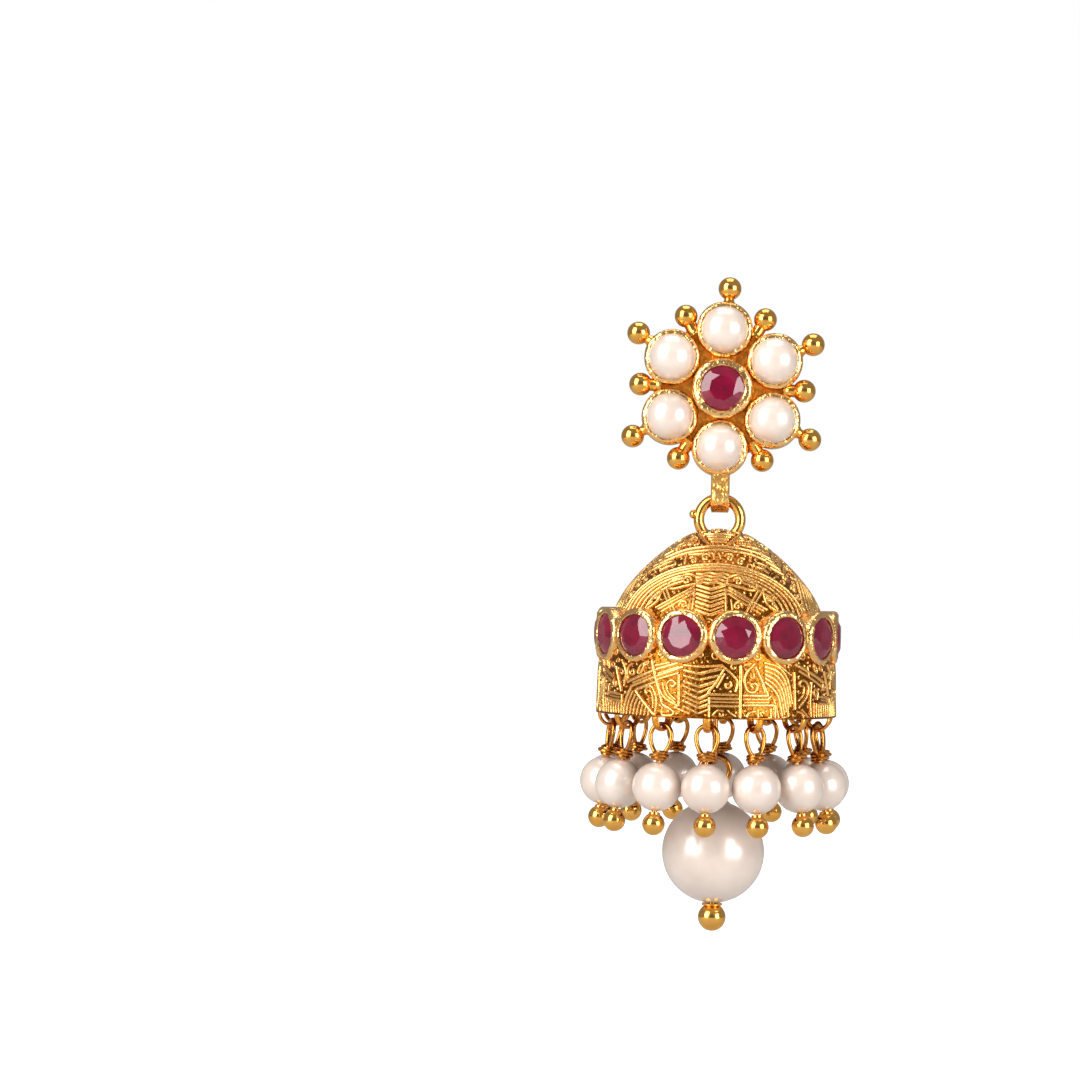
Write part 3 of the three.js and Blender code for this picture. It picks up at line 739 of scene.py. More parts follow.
def dome_panel():
    """Lines of one dome panel above and inside its arches, as (x, drop) and width."""
    # Crown: trapezoid with bars between two scrolled cells, over a double band
    bars = [(0.5, -1.2, 1.35), (0.74, -0.85, 1.2), (0.98, -0.7, 1.1), (1.22, -0.5, 0.95)]
    lines = drawn(line, PLAIN, *[[(left, drop), (right, drop)] for drop, left, right in bars])
    lines += drawn(line, BOLD, [(-1.7, 0.55), (-0.55, 1.56)], [(2.0, 0.55), (1.0, 1.56)])
    for hand in (-1, 1):
        lines += drawn(curve, PLAIN, mirrored(hand, [(2.7, 1.72), (2.55, 1.15), (2.0, 0.72)]))
        lines += drawn(curve, THIN, mirrored(hand, [(3.1, 1.9), (3.1, 1.3), (3.6, 0.98), (4.3, 1.3)]))
        lines += drawn(scroll, THIN, (hand * 1.85, 1.22, 0.42, 90 - hand * 90, 1.5, hand))
        lines += drawn(scroll, PLAIN, (hand * 3.75, 1.62, 0.5, 90 + hand * 60, 1.7, -hand))
    band = [(-5.2, 3.0), (-2.75, 2.0), (-0.4, 1.66), (1.0, 1.66), (3.2, 1.98), (5.3, 2.85)]
    lines += drawn(curve, BOLD, band, [(x, drop + 0.34) for x, drop in band])

    # Scroll band over the arch
    lines += drawn(line, BOLD, [(-2.6, 2.4), (-2.65, 3.4)], [(3.15, 2.5), (3.2, 3.05)])
    lines += drawn(line, PLAIN, [(-2.3, 2.45), (-0.1, 2.3), (0.0, 2.95)], [(0.35, 2.3), (0.62, 2.9)])
    lines += drawn(oval, THIN, (3.2, 3.45, 0.24, 0.24, 0))
    lines += drawn(scroll, PLAIN, (-0.8, 2.68, 0.4, 0, 1.5, -1), (-1.9, 2.95, 0.38, 200, 1.4),
                   (1.35, 2.65, 0.42, 180, 1.5), (2.4, 3.0, 0.38, 330, 1.4, -1))
    leaf = [(5.1, 3.75), (4.5, 3.3), (3.7, 3.05), (3.55, 3.35), (4.3, 3.6), (4.9, 4.0)]
    for hand in (-1, 1):
        lines += drawn(curve, PLAIN, mirrored(hand, leaf))
        lines += drawn(scroll, THIN, (hand * 4.3, 3.42, 0.2, 0, 1.2), (hand * 5.6, 4.4, 0.3, 90, 1.3, hand))

    # Inside the arch: middle column of waves and chevrons
    x = np.linspace(-1.45, 1.45, 22)
    for drop in (4.12, 4.4, 4.68, 4.96):
        sway = 0.06 * np.sin(5 * x + 3 * drop) + 0.05 * x**2
        lines.append((np.stack([x, drop + sway], axis=-1), PLAIN))
    for k, drop in enumerate((5.2, 5.56, 5.92, 6.28, 6.64, 7.0, 7.36)):
        dip = 0.34 + 0.02 * k
        lines += drawn(line, THIN if k % 2 else BOLD, [(-1.3, drop), (0.0, drop + dip), (1.2, drop - 0.04)])
    lines += drawn(line, PLAIN, [(-1.43, 5.5), (-1.6, 7.45)], [(1.3, 5.5), (1.4, 7.45)])

    # Leaf frames, diagonal bands with cross lines, triangles and scrolls beside the column
    leaf = [(1.35, 5.05), (1.5, 4.45), (2.2, 4.2), (2.95, 4.5), (3.6, 4.75), (4.0, 5.2), (3.6, 5.55),
            (2.5, 5.3), (1.4, 5.05)]
    edge = [(4.5, 5.5), (4.7, 6.2), (5.0, 6.8), (5.7, 7.3)]
    bands = [[(1.5, 5.3 + shift), (4.95 - shift, 7.25 + shift / 2)] for shift in (0.0, 0.27)]
    bands += [[(1.5, 5.85), (4.4, 7.6)], [(4.1, 5.6), (3.15, 7.5)]]
    crossing = [[(4.4, 5.75), (3.5, 7.5)], [(1.8, 6.4), (2.0, 7.5)]]
    for hand in (-1, 1):
        lines += drawn(curve, PLAIN, mirrored(hand, leaf), mirrored(hand, edge))
        lines += drawn(curve, THIN, mirrored(hand, [(5.5, 6.3), (5.4, 6.75), (5.9, 7.1)]))
        lines += drawn(line, PLAIN, *[mirrored(hand, path) for path in bands])
        lines += drawn(line, THIN, *[mirrored(hand, path) for path in crossing])
        lines += drawn(scroll, PLAIN, (hand * 2.3, 4.78, 0.42, 90 + hand * 80, 1.6, hand),
                       (hand * 2.4, 6.95, 0.42, 90 - hand * 60, 1.6, -hand),
                       (hand * 5.1, 6.15, 0.36, 90 - hand * 90, 1.5, hand))
        lines += drawn(scroll, THIN, (hand * 3.4, 5.1, 0.22, 0, 1.2, hand))
    return lines


def between_arches():
    """Rungs and scrolls in the gap between two panels, as (degrees, drop) and width."""
    lines = []
    for hand in (-1, 1):
        rungs = [[(hand * 50.0, drop), (hand * 60.0, drop + 0.62)] for drop in 1.35 + 0.52 * np.arange(5)]
        lines += drawn(line, HEAVY, *rungs)
        lines += drawn(line, PLAIN, [(hand * 60.0, 1.0), (hand * 60.0, 4.7)])
    for k in range(4):
        hand = 1 if k % 2 else -1
        coil = scroll(0, 0, 1, 90, 1.5, hand) * [2.6, 0.34] + [60.0 + 1.2 * hand, 4.4 + 0.85 * k]
        lines.append((coil, LIGHT))
    lines += drawn(line, PLAIN, [(56.5, 7.9), (60.0, 6.9), (63.5, 7.9)])
    lines += drawn(line, LIGHT, [(57.5, 8.3), (60.0, 7.5), (62.5, 8.3)])
    return lines


def skirt_panel():
    """Lines of one skirt panel, as (x, height above the rim) and width."""
    # Chevron stack
    chevrons = [(4.65, 4.55, 4.7), (4.2, 3.95, 4.45), (3.75, 3.4, 3.9), (3.25, 2.8, 3.3), (2.85, 2.3, 2.85),
                (2.4, 1.75, 2.25), (1.95, 1.35, 1.75), (1.55, 0.95, 1.3), (1.1, 0.45, 0.85)]
    lines = []
    for k, (left, apex, right) in enumerate(chevrons):
        reach = 0.5 if k < 3 else max(-0.05 - 0.2 * (k - 3), -0.55)
        lines += drawn(line, BOLD if k % 2 else PLAIN, [(-2.95, left), (-1.5, apex), (reach, right)])

    # Curved triangle with its scroll, cross line and the small frame below
    lines += drawn(curve, BOLD, [(-6.15, 5.0), (-5.9, 4.15), (-5.6, 3.25), (-5.15, 2.0), (-4.85, 1.15),
                                 (-4.2, 0.8)])
    lines += drawn(curve, PLAIN, [(-5.55, 3.25), (-5.1, 2.3), (-4.5, 1.6), (-3.35, 1.04)],
                   [(-3.6, 1.6), (-4.15, 2.05), (-4.5, 2.6), (-4.45, 3.05), (-4.05, 3.3), (-3.72, 3.1),
                    (-3.85, 2.75), (-4.15, 2.85)],
                   [(-4.9, 0.95), (-4.9, 0.25), (-3.95, 0.22), (-3.85, 0.6), (-4.3, 0.85)])
    lines += drawn(curve, THIN, [(-3.6, 1.32), (-4.35, 1.85), (-4.8, 2.5), (-4.95, 3.1)])
    lines += drawn(line, PLAIN, [(-3.35, 1.04), (-3.4, 3.85)], [(-3.75, 0.95), (-2.3, 0.4)])
    lines += drawn(scroll, THIN, (-4.4, 0.5, 0.18, 0, 1.2))

    # Downward triangle with its nine-shaped scroll
    lines += drawn(line, BOLD, [(-5.65, 3.1), (-7.95, 2.3), (-5.75, 0.22), (-5.5, 0.3)])
    lines += drawn(curve, PLAIN, [(-6.45, 2.05), (-6.7, 2.25), (-6.5, 2.62), (-6.1, 2.72), (-5.72, 2.25),
                                  (-5.5, 1.35), (-5.6, 0.4)])
    lines += drawn(curve, THIN, [(-6.45, 2.3), (-6.05, 2.2), (-5.88, 1.5), (-5.85, 0.8)])

    # Diagonal band
    lines += drawn(line, BOLD, [(-8.9, 3.0), (-5.8, 4.15), (-3.1, 4.95)],
                   [(-8.45, 2.62), (-5.7, 3.55), (-3.0, 4.5)])
    lines += drawn(line, PLAIN, [(-5.55, 3.3), (-3.4, 3.95)], [(-5.7, 4.55), (-4.3, 4.85)])
    lines += drawn(line, THIN, [(-8.2, 2.95), (-6.1, 3.7)], [(-5.4, 3.85), (-3.4, 4.5)])

    # Fan of curved hatching
    for k in range(8):
        share = k / 7
        top = (-8.45 + 2.2 * share, 2.5 - 1.9 * share)
        foot = (-9.3 + 3.0 * share, 0.12)
        middle = ((top[0] + foot[0]) / 2 - 0.22 * (1 - share), (top[1] + foot[1]) / 2)
        lines += drawn(curve, PLAIN if k else BOLD, [top, middle, foot])

    # Scroll cells and leaves left of the fan
    lines += drawn(line, BOLD, [(-10.75, 4.3), (-9.75, 2.1)])
    lines += drawn(line, PLAIN, [(-11.9, 2.0), (-9.75, 1.85)], [(-11.9, 1.4), (-9.6, 1.3)],
                   [(-9.62, 1.85), (-9.6, 0.15)])
    lines += drawn(line, THIN, [(-11.5, 1.7), (-9.9, 1.58)])
    lines += drawn(curve, PLAIN, [(-9.9, 4.9), (-9.2, 3.9), (-9.4, 2.6)],
                   [(-8.9, 3.3), (-8.95, 4.2), (-8.4, 4.7)])
    hatching = -11.25 + 0.42 * np.arange(4)
    lines += drawn(curve, THIN, *[[(x, 1.2), (x - 0.08, 0.7), (x + 0.04, 0.18)] for x in hatching])
    lines += drawn(scroll, PLAIN, (-10.75, 2.85, 0.42, 90, 1.6), (-8.3, 3.95, 0.36, 180, 1.5))
    lines += drawn(scroll, THIN, (-9.5, 4.45, 0.3, 0, 1.4))
    lines += drawn(oval, PLAIN, (-7.3, 4.25, 0.55, 0.2, 55))
    lines += drawn(oval, THIN, (-9.2, 3.3, 0.42, 0.15, 60), (-6.7, 4.75, 0.3, 0.12, 30))

    # Left triangle of the middle motif, its scroll and the bars below
    lines += drawn(line, BOLD, [(2.15, 4.7), (2.15, 0.1)])
    lines += drawn(line, PLAIN, [(0.65, 4.35), (-0.15, 3.0), (-0.85, 2.15), (1.9, 2.15)],
                   [(-0.5, 1.8), (2.0, 1.8)], [(-0.55, 1.15), (2.0, 1.15)], [(-0.62, 1.9), (-0.6, 0.15)])
    lines += drawn(line, THIN, [(0.75, 4.0), (0.05, 2.75)], [(-0.5, 1.5), (2.0, 1.5)])
    lines += drawn(curve, PLAIN, [(0.4, 4.75), (1.36, 3.95), (1.85, 3.3), (1.7, 2.4)])
    lines += drawn(curve, THIN, [(-0.3, 0.3), (0.15, 0.75), (0.7, 0.7)], [(1.0, 0.8), (1.35, 0.5), (1.8, 0.2)])
    lines += drawn(scroll, PLAIN, (0.98, 3.0, 0.38, 60, 1.6, -1))
    lines += drawn(scroll, THIN, (0.55, 0.42, 0.26, 150, 1.4))

    # Right triangle, its great scroll and the frame below
    lines += drawn(line, BOLD, [(2.35, 2.1), (4.75, 2.1), (3.5, 4.6)], [(2.35, 1.25), (5.4, 1.25), (5.42, 0.15)])
    lines += drawn(line, PLAIN, [(2.35, 1.78), (4.7, 1.78), (5.0, 2.1)],
                   [(5.05, 0.95), (5.05, 0.2), (4.7, 0.15)])
    lines += drawn(line, THIN, [(3.75, 4.1), (4.4, 2.4)], [(2.4, 4.75), (3.1, 4.95)], [(2.5, 1.5), (4.8, 1.52)],
                   [(3.8, 0.9), (3.8, 0.2)])
    lines += drawn(curve, PLAIN, [(3.4, 4.9), (2.75, 4.2), (2.5, 3.5), (2.65, 2.7), (3.0, 2.4), (3.5, 2.48),
                                  (3.72, 2.9), (3.4, 3.2), (3.1, 3.02), (3.25, 2.78)],
                   [(2.75, 0.2), (3.0, 0.62), (3.55, 0.72)])
    lines += drawn(scroll, PLAIN, (4.25, 0.55, 0.27, 250, 1.5, -1))

    # Nested quarter arcs
    inner = [(4.35, 3.35), (5.15, 2.75), (5.75, 1.95), (6.2, 0.2)]
    outer = [(4.35, 5.0), (5.8, 4.6), (6.75, 3.5), (7.25, 1.4)]
    for k, points in enumerate(between(inner, outer, 6)):
        lines += drawn(curve, PLAIN if k % 2 else BOLD, points)
    lines += drawn(curve, PLAIN, [(5.15, 2.05), (5.5, 1.2), (5.8, 0.15)])
    lines += drawn(line, PLAIN, [(6.2, 0.2), (6.85, 0.3), (6.75, 1.0)])
    lines += drawn(line, THIN, [(5.5, 5.0), (7.2, 3.9)])

    # Nine-shaped scrolls, crossing diagonals and hatching at the right
    lines += drawn(line, BOLD, [(7.5, 4.2), (7.6, 0.9)], [(7.6, 4.9), (11.6, 3.35)])
    lines += drawn(line, PLAIN, [(8.0, 4.35), (11.4, 2.9)], [(9.2, 4.7), (9.4, 3.7)],
                   [(7.7, 0.75), (8.5, 0.55), (8.6, 0.15)])
    lines += drawn(line, THIN, [(8.4, 0.95), (9.3, 0.15)])
    lines += drawn(curve, PLAIN, [(9.75, 3.3), (9.55, 1.6), (9.7, 0.2)],
                   [(8.3, 2.95), (8.1, 3.15), (8.45, 3.45), (9.05, 3.3), (9.3, 2.7), (9.0, 1.95), (8.0, 1.0)],
                   [(10.35, 2.1), (10.05, 2.3), (10.3, 2.65), (10.75, 2.4), (10.6, 1.7)])
    lines += drawn(curve, THIN, [(8.4, 3.0), (8.75, 2.85), (8.6, 2.2), (7.95, 1.6)])
    lines += drawn(oval, THIN, (10.4, 4.5, 0.45, 0.16, -60))
    lines += drawn(line, THIN, *[[(10.1 + 0.4 * k, 1.5 - 0.08 * k), (10.1 + 0.4 * k, 0.15)] for k in range(4)])
    return lines


def fillers(lines, top, bottom, seed):
    """Small scrolls and grains for the bare spots of a panel, the widest spot filled first.

    The clearance of a spot is its distance to the nearest ridge line. A scroll fits inside it where it is wide,
    and a grain where it is narrow.
    """
    rng = np.random.default_rng(seed)
    ends = np.interp((top, bottom), -OUTLINE[:, 1], MERIDIAN)
    drops = np.interp(np.arange(*ends, 0.13), MERIDIAN, -OUTLINE[:, 1])
    radii = np.interp(drops, -OUTLINE[:, 1], OUTLINE[:, 0])
    rows = [np.arange(-60, 60, 8 / max(radius, 1.0)) for radius in radii]
    spots = np.vstack([np.stack([row, np.full(len(row), drop)], axis=-1) for row, drop in zip(rows, drops)])
    places = spot(spots)
    taken = np.vstack([dense(spot(path, by), 0.12) for path, _ in lines for by in PANEL_TURNS])
    taken = taken[taken[:, 1] < 0]
    clear = np.concatenate([np.linalg.norm(part[:, None] - taken, axis=2).min(axis=1)
                            for part in np.array_split(places, 60)])
    added = []
    while clear.max() > 0.3 and len(added) < 420:
        best = int(clear.argmax())
        reach = min(clear[best] - 0.27, 0.42)
        if reach >= 0.14:
            shape, width = scroll(0, 0, reach, rng.uniform(0, 360), 1.1 + reach, rng.choice([-1, 1])), 0.17
        else:
            reach = 0.08
            heading = rng.uniform(0, np.pi)
            shape, width = line((0, 0), (np.cos(heading), np.sin(heading))) * 2 * reach, 0.2
        place = places[best]
        around = math.hypot(place[0], place[1])
        lean = np.interp(-place[2], -OUTLINE[:-1, 1], -np.diff(OUTLINE[:, 1]) / np.diff(MERIDIAN))
        across, down = np.degrees(shape[:, 0] / around), shape[:, 1] * lean
        path = spots[best] + np.stack([across, down], axis=-1)
        added.append((path, width))
        for by in PANEL_TURNS:
            new = spot(spots[best:best + 1], by)
            clear = np.minimum(clear, np.linalg.norm(places - new, axis=1) - reach)
    return added


def dense_chart(path):
    """A chart line with enough points for its mapped shape: each stretch cut in eight, if it has few."""
    count = (len(path) - 1) * 8 + 1 if len(path) < 12 else len(path)
    where = np.linspace(0, len(path) - 1, count)
    return np.stack([np.interp(where, np.arange(len(path)), path[:, i]) for i in range(2)], axis=-1)


def relief_of(lines, centre):
    """Ridges of lines given as (degrees, drop) and width, once for each panel round the bell."""
    ridges = [ridge(dense_chart(path), width, centre + by) for path, width in lines for by in PANEL_TURNS]
    return on_bell(joined(*ridges))


def build_relief():
    """Raised lines of the dome and of the skirt, with small ones in their bare spots."""
    dome = arches() + [(on_dome(dense_chart(path)), width) for path, width in dome_panel()] + between_arches()
    dome += fillers(dome, 0.04, 8.6, 61)
    put_piece("dome_relief", relief_of(dome, DOME_CENTRE), RELIEF, "bell_body", sharp=80)
    skirt = [(on_skirt(dense_chart(path)), width) for path, width in skirt_panel()]
    skirt += fillers(skirt, BELL_HEIGHT - 5.6, BELL_HEIGHT - 0.3, 62)
    put_piece("skirt_relief", relief_of(skirt, 0.0), RELIEF, "bell_body", sharp=80)


def belt_place(shape, radius, azimuth):
    """A shape that points up put on the belt, pointing out at an azimuth from the front towards +X."""
    placed = turn(moved(to_front(shape), y=-radius), "z", math.degrees(azimuth))
    return on_bell(moved(placed, z=-BELT_DROP))


def hook(azimuth):
    """A rim hook: an oval section carried down, round a half circle and up, in a plane through the bell's axis."""
    foot = np.array([(-HOOK_RADIUS, 0.4), (-HOOK_RADIUS, 0.2)])
    outline = np.vstack([foot, arc(0, 0, HOOK_RADIUS, 180, 360, 20), foot[::-1] * [-1, 1]])
    path = np.stack([0 * outline[:, 0], -HOOK_CIRCLE - outline[:, 0], outline[:, 1] - BELL_HEIGHT], axis=-1)
    section = circle(1.0, 12) * [HOOK_THICKNESS / 2, HOOK_WIDTH / 2]
    shape = carried(path, np.tile([1.0, 0.0, 0.0], (len(path), 1)), section)
    return on_bell(turn(shape, "z", math.degrees(azimuth)))


def ring_path(radius, centre, steps=64):
    """A circle in the XZ plane round a centre."""
    angle = np.arange(steps) * 2 * np.pi / steps
    return np.stack([radius * np.sin(angle), 0 * angle, radius * np.cos(angle)], axis=-1) + centre


def hanging_ring():
    """Ring, solder bead and the eye under the crown."""
    centre = np.array([0.0, BELL_Y, SWING[2] - RING_RADIUS])
    ring = wire(ring_path(RING_RADIUS, centre), RING_WIRE, close=True, sides=20)
    bead = moved(ball(0.4, 0, 24), x=-(RING_RADIUS + RING_WIRE), y=BELL_Y, z=centre[2] + 0.42)
    eye_path = ring_path(EYE_RADIUS, EYE + np.array([0, 0, EYE_RADIUS]), 40)
    eye = wire(eye_path, EYE_WIRE, close=True, sides=12)
    return joined(ring, bead, eye)


def build_bell():
    """The bell's pieces on the body that swings under the bail."""
    body = "bell_body"
    put_piece("bell_shell", bell_shell(), GROUND, body, ["bell"])
    put_piece("bell_ring", hanging_ring(), GOLD, body)
    azimuths = [BELT_TURN + i * BELT_PITCH for i in range(BELT_COUNT)]
    rims = []
    for i, azimuth in enumerate(azimuths):
        rim = collet(BELT_RIM, BELT_RUBY - 0.05, 0.0, -1.15, 20 + i, root=-2.1)
        rims.append(belt_place(rim, BELT_FACE, azimuth))
        rims.append(belt_place(floor_disc(BELT_RUBY, -1.6, -1.1, 36), BELT_FACE, azimuth))
        stone = turn(brilliant(BELT_RUBY - 0.02), "z", 11 * i)
        put_piece(f"bell_ruby_{i + 1:02d}_visual", belt_place(stone, BELT_FACE - 0.3, azimuth), RUBY, body,
                  [f"bell_ruby_{i + 1:02d}"], sharp=0)
    put_piece("bell_settings", joined(*rims), SETTING, body)
    hooks = [hook(azimuth - BELT_PITCH / 2) for azimuth in azimuths]
    put_piece("rim_hooks", joined(*hooks), PLATE, body)
    for i, azimuth in enumerate(azimuths):
        build_dangle(i, azimuth - BELT_PITCH / 2)


# Dangles


def drilled_pearl(radius, bore, sides=48):
    """A pearl on the Z axis, drilled through: the arc between the bore's edges and the bore, closed."""
    edge = math.degrees(math.acos(bore / radius))
    skin = arc(0, 0, radius, -edge, edge, sides // 2)
    return turned([*skin, (bore * 0.8, skin[-1, 1] - 0.06), (bore * 0.8, skin[0, 1] + 0.06)], sides, ring=True)


def pear_loop(width, top, height, taper, steps=48):
    """A pear-shaped closed path in the XZ plane, wider above: x = w sin a (1 + taper cos a), z = h cos a."""
    angle = np.arange(steps) * 2 * np.pi / steps
    x = width / 2 * np.sin(angle) * (1 + taper * np.cos(angle))
    z = top - height / 2 * (1 - np.cos(angle))
    return np.stack([x, 0 * angle, z], axis=-1)


def windings(radius, wire_radius, top, bottom, turns, seed):
    """Wire wound round a neck: an uneven helix whose radius swells in the middle and drifts a little."""
    rng = np.random.default_rng(seed)
    t = np.linspace(0, 1, int(turns * 20))
    angle = 2 * np.pi * turns * t + rng.uniform(0, 2 * np.pi)
    wobble = 0.1 * radius * np.sin(3 * angle / 2 + rng.uniform(0, 2 * np.pi))
    r = radius * (0.62 + 0.38 * np.sin(np.pi * t) ** 0.7) + wobble
    tilt = 0.1 * np.sin(angle + rng.uniform(0, 2 * np.pi))
    path = np.stack([r * np.cos(angle), r * np.sin(angle), top + (bottom - top) * t + tilt * radius], axis=-1)
    normal = np.stack([np.cos(angle), np.sin(angle), 0 * angle], axis=-1)
    return carried(path, normal, circle(wire_radius, 8))


def settle(shape, azimuth, lean):
    """A shape made round a hook's strip, leaned outwards and put at its hook."""
    leaned = turn(shape, "x", -lean)
    hung = moved(leaned, y=-HOOK_CIRCLE, z=-BELL_HEIGHT - HOOK_RADIUS)
    return on_bell(turn(hung, "z", math.degrees(azimuth)))


def build_dangle(index, azimuth):
    """One dangle: loop, windings, shank and end ball, and its pearl."""
    lean, twist = SETTLING[index]
    lean += CROWD_LEAN
    loop = wire(pear_loop(DANGLE_LOOP_WIDTH, DANGLE_LOOP_TOP, DANGLE_LOOP_HEIGHT, 0.25), DANGLE_WIRE, close=True)
    neck_low = -DANGLE_NECK_DROP - 0.62
    wraps = windings(0.74, 0.17, -DANGLE_NECK_DROP + 0.1, neck_low, 2.6, 50 + index)
    core = turned([(0, neck_low - 0.1), (0.5, neck_low), (0.56, neck_low + 0.3), (0.3, -DANGLE_NECK_DROP + 0.2),
                   (0, -DANGLE_NECK_DROP + 0.2)], 20)
    shank = turned([(0, -DANGLE_BALL_DROP), (0.22, -DANGLE_BALL_DROP), (0.22, neck_low), (0, neck_low)], 12)
    pin = turn(joined(loop, wraps, core, shank), "z", twist)
    number = f"{index + 1:02d}"
    put_piece(f"dangle_wire_{number}", settle(pin, azimuth, lean), WIRE, "bell_body",
              [f"dangle_pin_{number}"])
    collar_top = DANGLE_BALL - DANGLE_BALL_DROP + 0.06
    collar_rows = [(0, -0.3), (0.52, -0.25), (0.5, -0.05), (0.44, 0), (0, 0)]
    collar = turned(np.add(collar_rows, (0, collar_top)), 24)
    bead = joined(ball(DANGLE_BALL, -DANGLE_BALL_DROP, 36), collar)
    put_piece(f"dangle_ball_{number}", settle(bead, azimuth, lean), GOLD, "bell_body")
    pearl = moved(drilled_pearl(DANGLE_PEARL, 0.42), z=-DANGLE_PEARL_DROP)
    put_piece(f"dangle_pearl_{number}_visual", settle(pearl, azimuth, lean), NACRE, "bell_body",
              [f"dangle_pearl_{number}"])


# Middle drop


def long_link():
    """The long link: half circles at both ends joined by straight sides, in the YZ plane."""
    top = EYE_WIRE + LINK_PLAY + LINK_WIRE
    bottom = -LINK_LENGTH - DROP_WIRE - LINK_PLAY - LINK_WIRE
    angle = np.radians(np.linspace(0, 180, 17))
    upper = np.stack([LINK_HALF_WIDTH * np.cos(angle), top - LINK_HALF_WIDTH * (1 - np.sin(angle))], axis=-1)
    lower = np.stack([-LINK_HALF_WIDTH * np.cos(angle), bottom + LINK_HALF_WIDTH * (1 - np.sin(angle))], axis=-1)
    outline = np.vstack([upper, lower])
    path = np.stack([np.zeros(len(outline)), outline[:, 0], outline[:, 1]], axis=-1) + EYE
    return wire(path, LINK_WIRE, close=True, normal=(1.0, 0.0, 0.0))


def build_drop():
    """The middle drop's pieces on the body that swings under the bell's eye."""
    body = "drop_body"
    top = EYE - np.array([0, 0, LINK_LENGTH])
    put_piece("drop_link_visual", long_link(), WIRE, body, ["drop_link"])
    loop = wire(ring_path(DROP_LOOP, np.array([0, 0, -DROP_LOOP])), DROP_WIRE, close=True)
    low = -DROP_NECK_DROP - 1.5
    wraps = windings(0.85, 0.2, -DROP_NECK_DROP + 0.1, low + 0.1, 4.2, 7)
    core = turned([(0, low), (0.6, low), (0.66, low + 0.7), (0.3, -DROP_NECK_DROP + 0.2),
                   (0, -DROP_NECK_DROP + 0.2)], 24)
    shank = turned([(0, -DROP_BALL_DROP), (0.3, -DROP_BALL_DROP), (0.3, low), (0, low)], 16)
    pin = joined(loop, wraps, core, shank)
    put_piece("drop_wire", moved(pin, *top), WIRE, body, ["drop_pin"])
    disc_low = -DROP_DISC_DROP - 0.22
    disc = turned([(0, disc_low), (0.9, disc_low), (0.95, disc_low + 0.05), (0.95, disc_low + 0.15),
                   (0.9, disc_low + 0.2), (0, disc_low + 0.2)], 40)
    end = joined(ball(DROP_BALL, -DROP_BALL_DROP, 48), disc)
    put_piece("drop_ball", moved(end, *top), GOLD, body)
    pearl = moved(moved(drilled_pearl(DROP_PEARL, 0.5, 96), *top), z=-DROP_PEARL_DROP)
    put_piece("drop_pearl_visual", pearl, NACRE, body, ["drop_pearl"])


build_rosette()
build_bell()
build_relief()
build_drop()


# Floor, light and camera
FLOOR_Z = -78.0
FLOOR_RADIUS = 4000.0
FLOOR_THICKNESS = 0.2
LIGHT_AIM = Vector((0.0, 0.0, -25.0))


def build_stage():
    """A large plain pale floor under the hanging earring, which glows: full white to the camera and faintly to all
    other rays.
    """
    values = {"Base Color": linear("#B4B4B4"), "Roughness": 0.8, "Emission Color": linear("#FFFFFF")}
    material, tree, shader = surface("glowing pale studio floor", values)
    seen = add(tree, "ShaderNodeLightPath")
    # The floor glows though it is no lamp: emission 1 for camera rays, 0.12 for the rest
    glow = add(tree, "ShaderNodeMapRange", {"To Min": 0.12, "To Max": 1.0},
               {"Value": seen.outputs["Is Camera Ray"]})
    tree.links.new(glow.outputs["Result"], shader.inputs["Emission Strength"])
    slab = floor_disc(FLOOR_RADIUS, FLOOR_Z - FLOOR_THICKNESS, FLOOR_Z, 96)
    floor = mesh_object("floor", slab, material)


def soft_light(name, place, wide, high, power):
    """A soft box at a place in millimetres, facing the earring."""
    data = bpy.data.lights.new(name, "AREA")
    data.shape = "RECTANGLE"
    data.size = wide * MM
    data.size_y = high * MM
    data.energy = power
    lamp = linked(name, data)
    lamp.location = Vector(place) * MM
    lamp.rotation_mode = "QUATERNION"
    lamp.rotation_quaternion = (LIGHT_AIM - Vector(place)).to_track_quat("-Z", "Y")


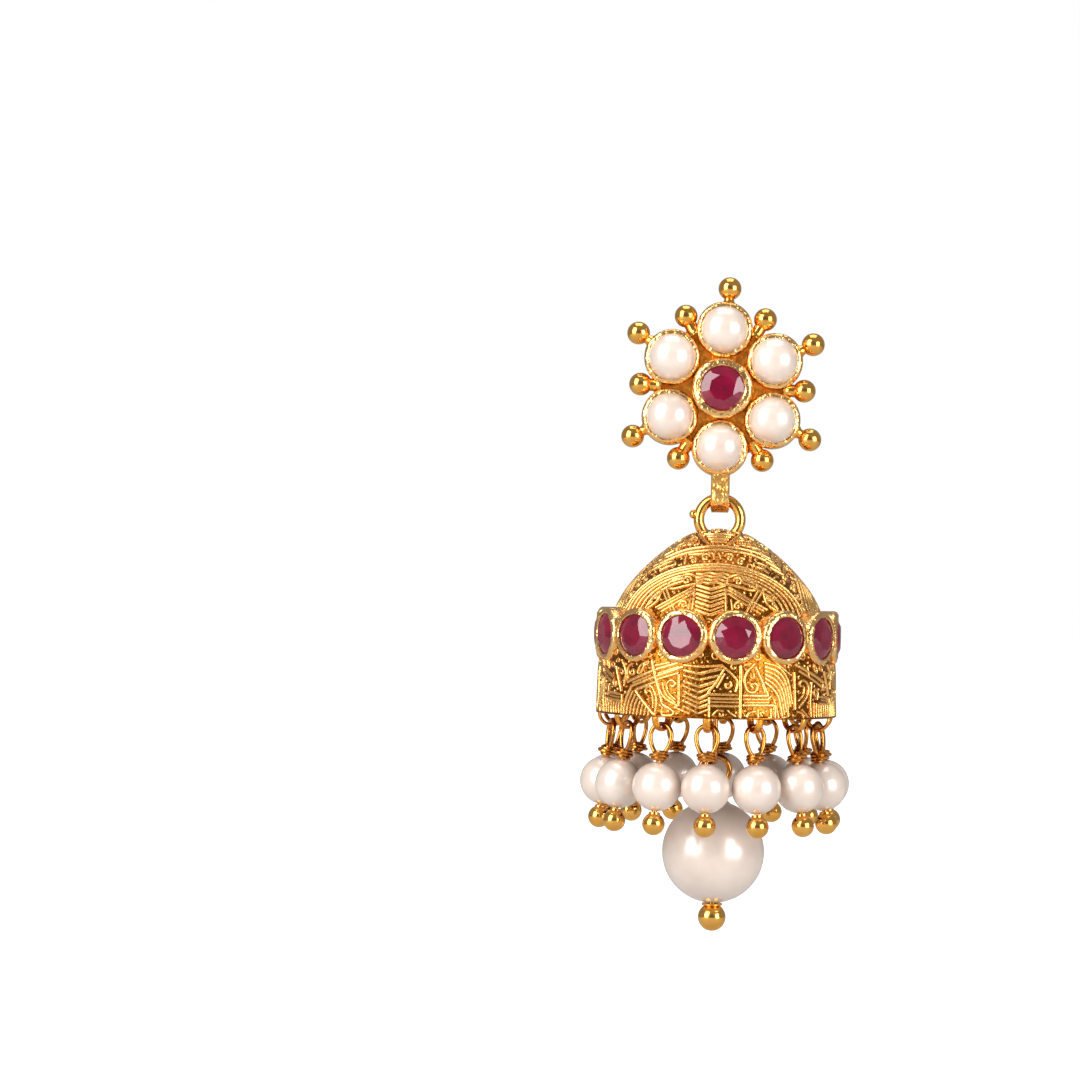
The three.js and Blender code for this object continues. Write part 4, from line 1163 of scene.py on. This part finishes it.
def build_light():
    """White surroundings, dimmer in front where the camera stands, and soft lights left and right."""
    world = bpy.data.worlds.new("studio")
    bpy.context.scene.world = world
    world.use_nodes = True
    tree = world.node_tree
    tree.nodes.clear()
    place = add(tree, "ShaderNodeTexCoord")
    split = add(tree, "ShaderNodeSeparateXYZ", links={"Vector": place.outputs["Generated"]})
    depth = add(tree, "ShaderNodeMapRange", {"From Min": -1.0, "From Max": 1.0}, {"Value": split.outputs["Y"]})
    shade = ramp(tree, depth.outputs["Result"], ("#969696", "#DCDCDC"), (0.0, 0.09))
    seen = add(tree, "ShaderNodeLightPath")
    white = add(tree, "ShaderNodeBackground", {"Color": (1, 1, 1, 1), "Strength": 1.0})
    around = add(tree, "ShaderNodeBackground", {"Strength": 0.45}, {"Color": shade.outputs["Color"]})
    mixed = add(tree, "ShaderNodeMixShader", links={0: seen.outputs["Is Camera Ray"], 1: around.outputs[0],
                                                    2: white.outputs[0]})
    add(tree, "ShaderNodeOutputWorld", links={"Surface": mixed.outputs[0]})
    soft_light("key, left", (-300, -290, 150), 280, 430, 2.3)
    soft_light("fill, right", (310, -280, 50), 240, 260, 1.25)
    soft_light("top", (0, 60, 420), 300, 300, 0.7)


# Camera: level view from the front, a little above the bell's rim, framed as the photograph is
FOCAL = 100.0
SENSOR = 36.0
FRAME_PIXELS = 1080
FOCAL_PIXELS = FOCAL / SENSOR * FRAME_PIXELS
PIXELS_PER_MM = 10.9
ROLL_DEGREES = 1.2
ROSETTE_PIXEL = (722.4, 389.3)
HORIZON_ABOVE_ROSETTE = 205.8


def build_camera():
    """Puts the camera straight in front of the earring and turns it so the rosette falls on its pixel."""
    distance = FOCAL_PIXELS / PIXELS_PER_MM
    roll = math.radians(ROLL_DEGREES)
    dx, dy = ROSETTE_PIXEL[0] - FRAME_PIXELS / 2, ROSETTE_PIXEL[1] - FRAME_PIXELS / 2
    level_x = dx * math.cos(roll) + dy * math.sin(roll)
    level_y = -dx * math.sin(roll) + dy * math.cos(roll)
    yaw = math.atan(level_x / FOCAL_PIXELS)
    pitch = math.atan((HORIZON_ABOVE_ROSETTE + level_y) / FOCAL_PIXELS)
    data = bpy.data.cameras.new("camera")
    data.lens = FOCAL
    data.sensor_width = SENSOR
    data.clip_start = 0.01
    data.clip_end = 20.0
    camera = linked("camera", data)
    camera.location = (0.0, (BELL_Y - distance) * MM, -HORIZON_ABOVE_ROSETTE / PIXELS_PER_MM * MM)
    camera.rotation_euler = (
        Euler((math.pi / 2 + pitch, 0, yaw)).to_matrix() @ Euler((0, 0, roll)).to_matrix()
    ).to_euler()
    bpy.context.scene.camera = camera


build_stage()
build_light()
build_camera()
bpy.context.scene.view_settings.view_transform = "Standard"
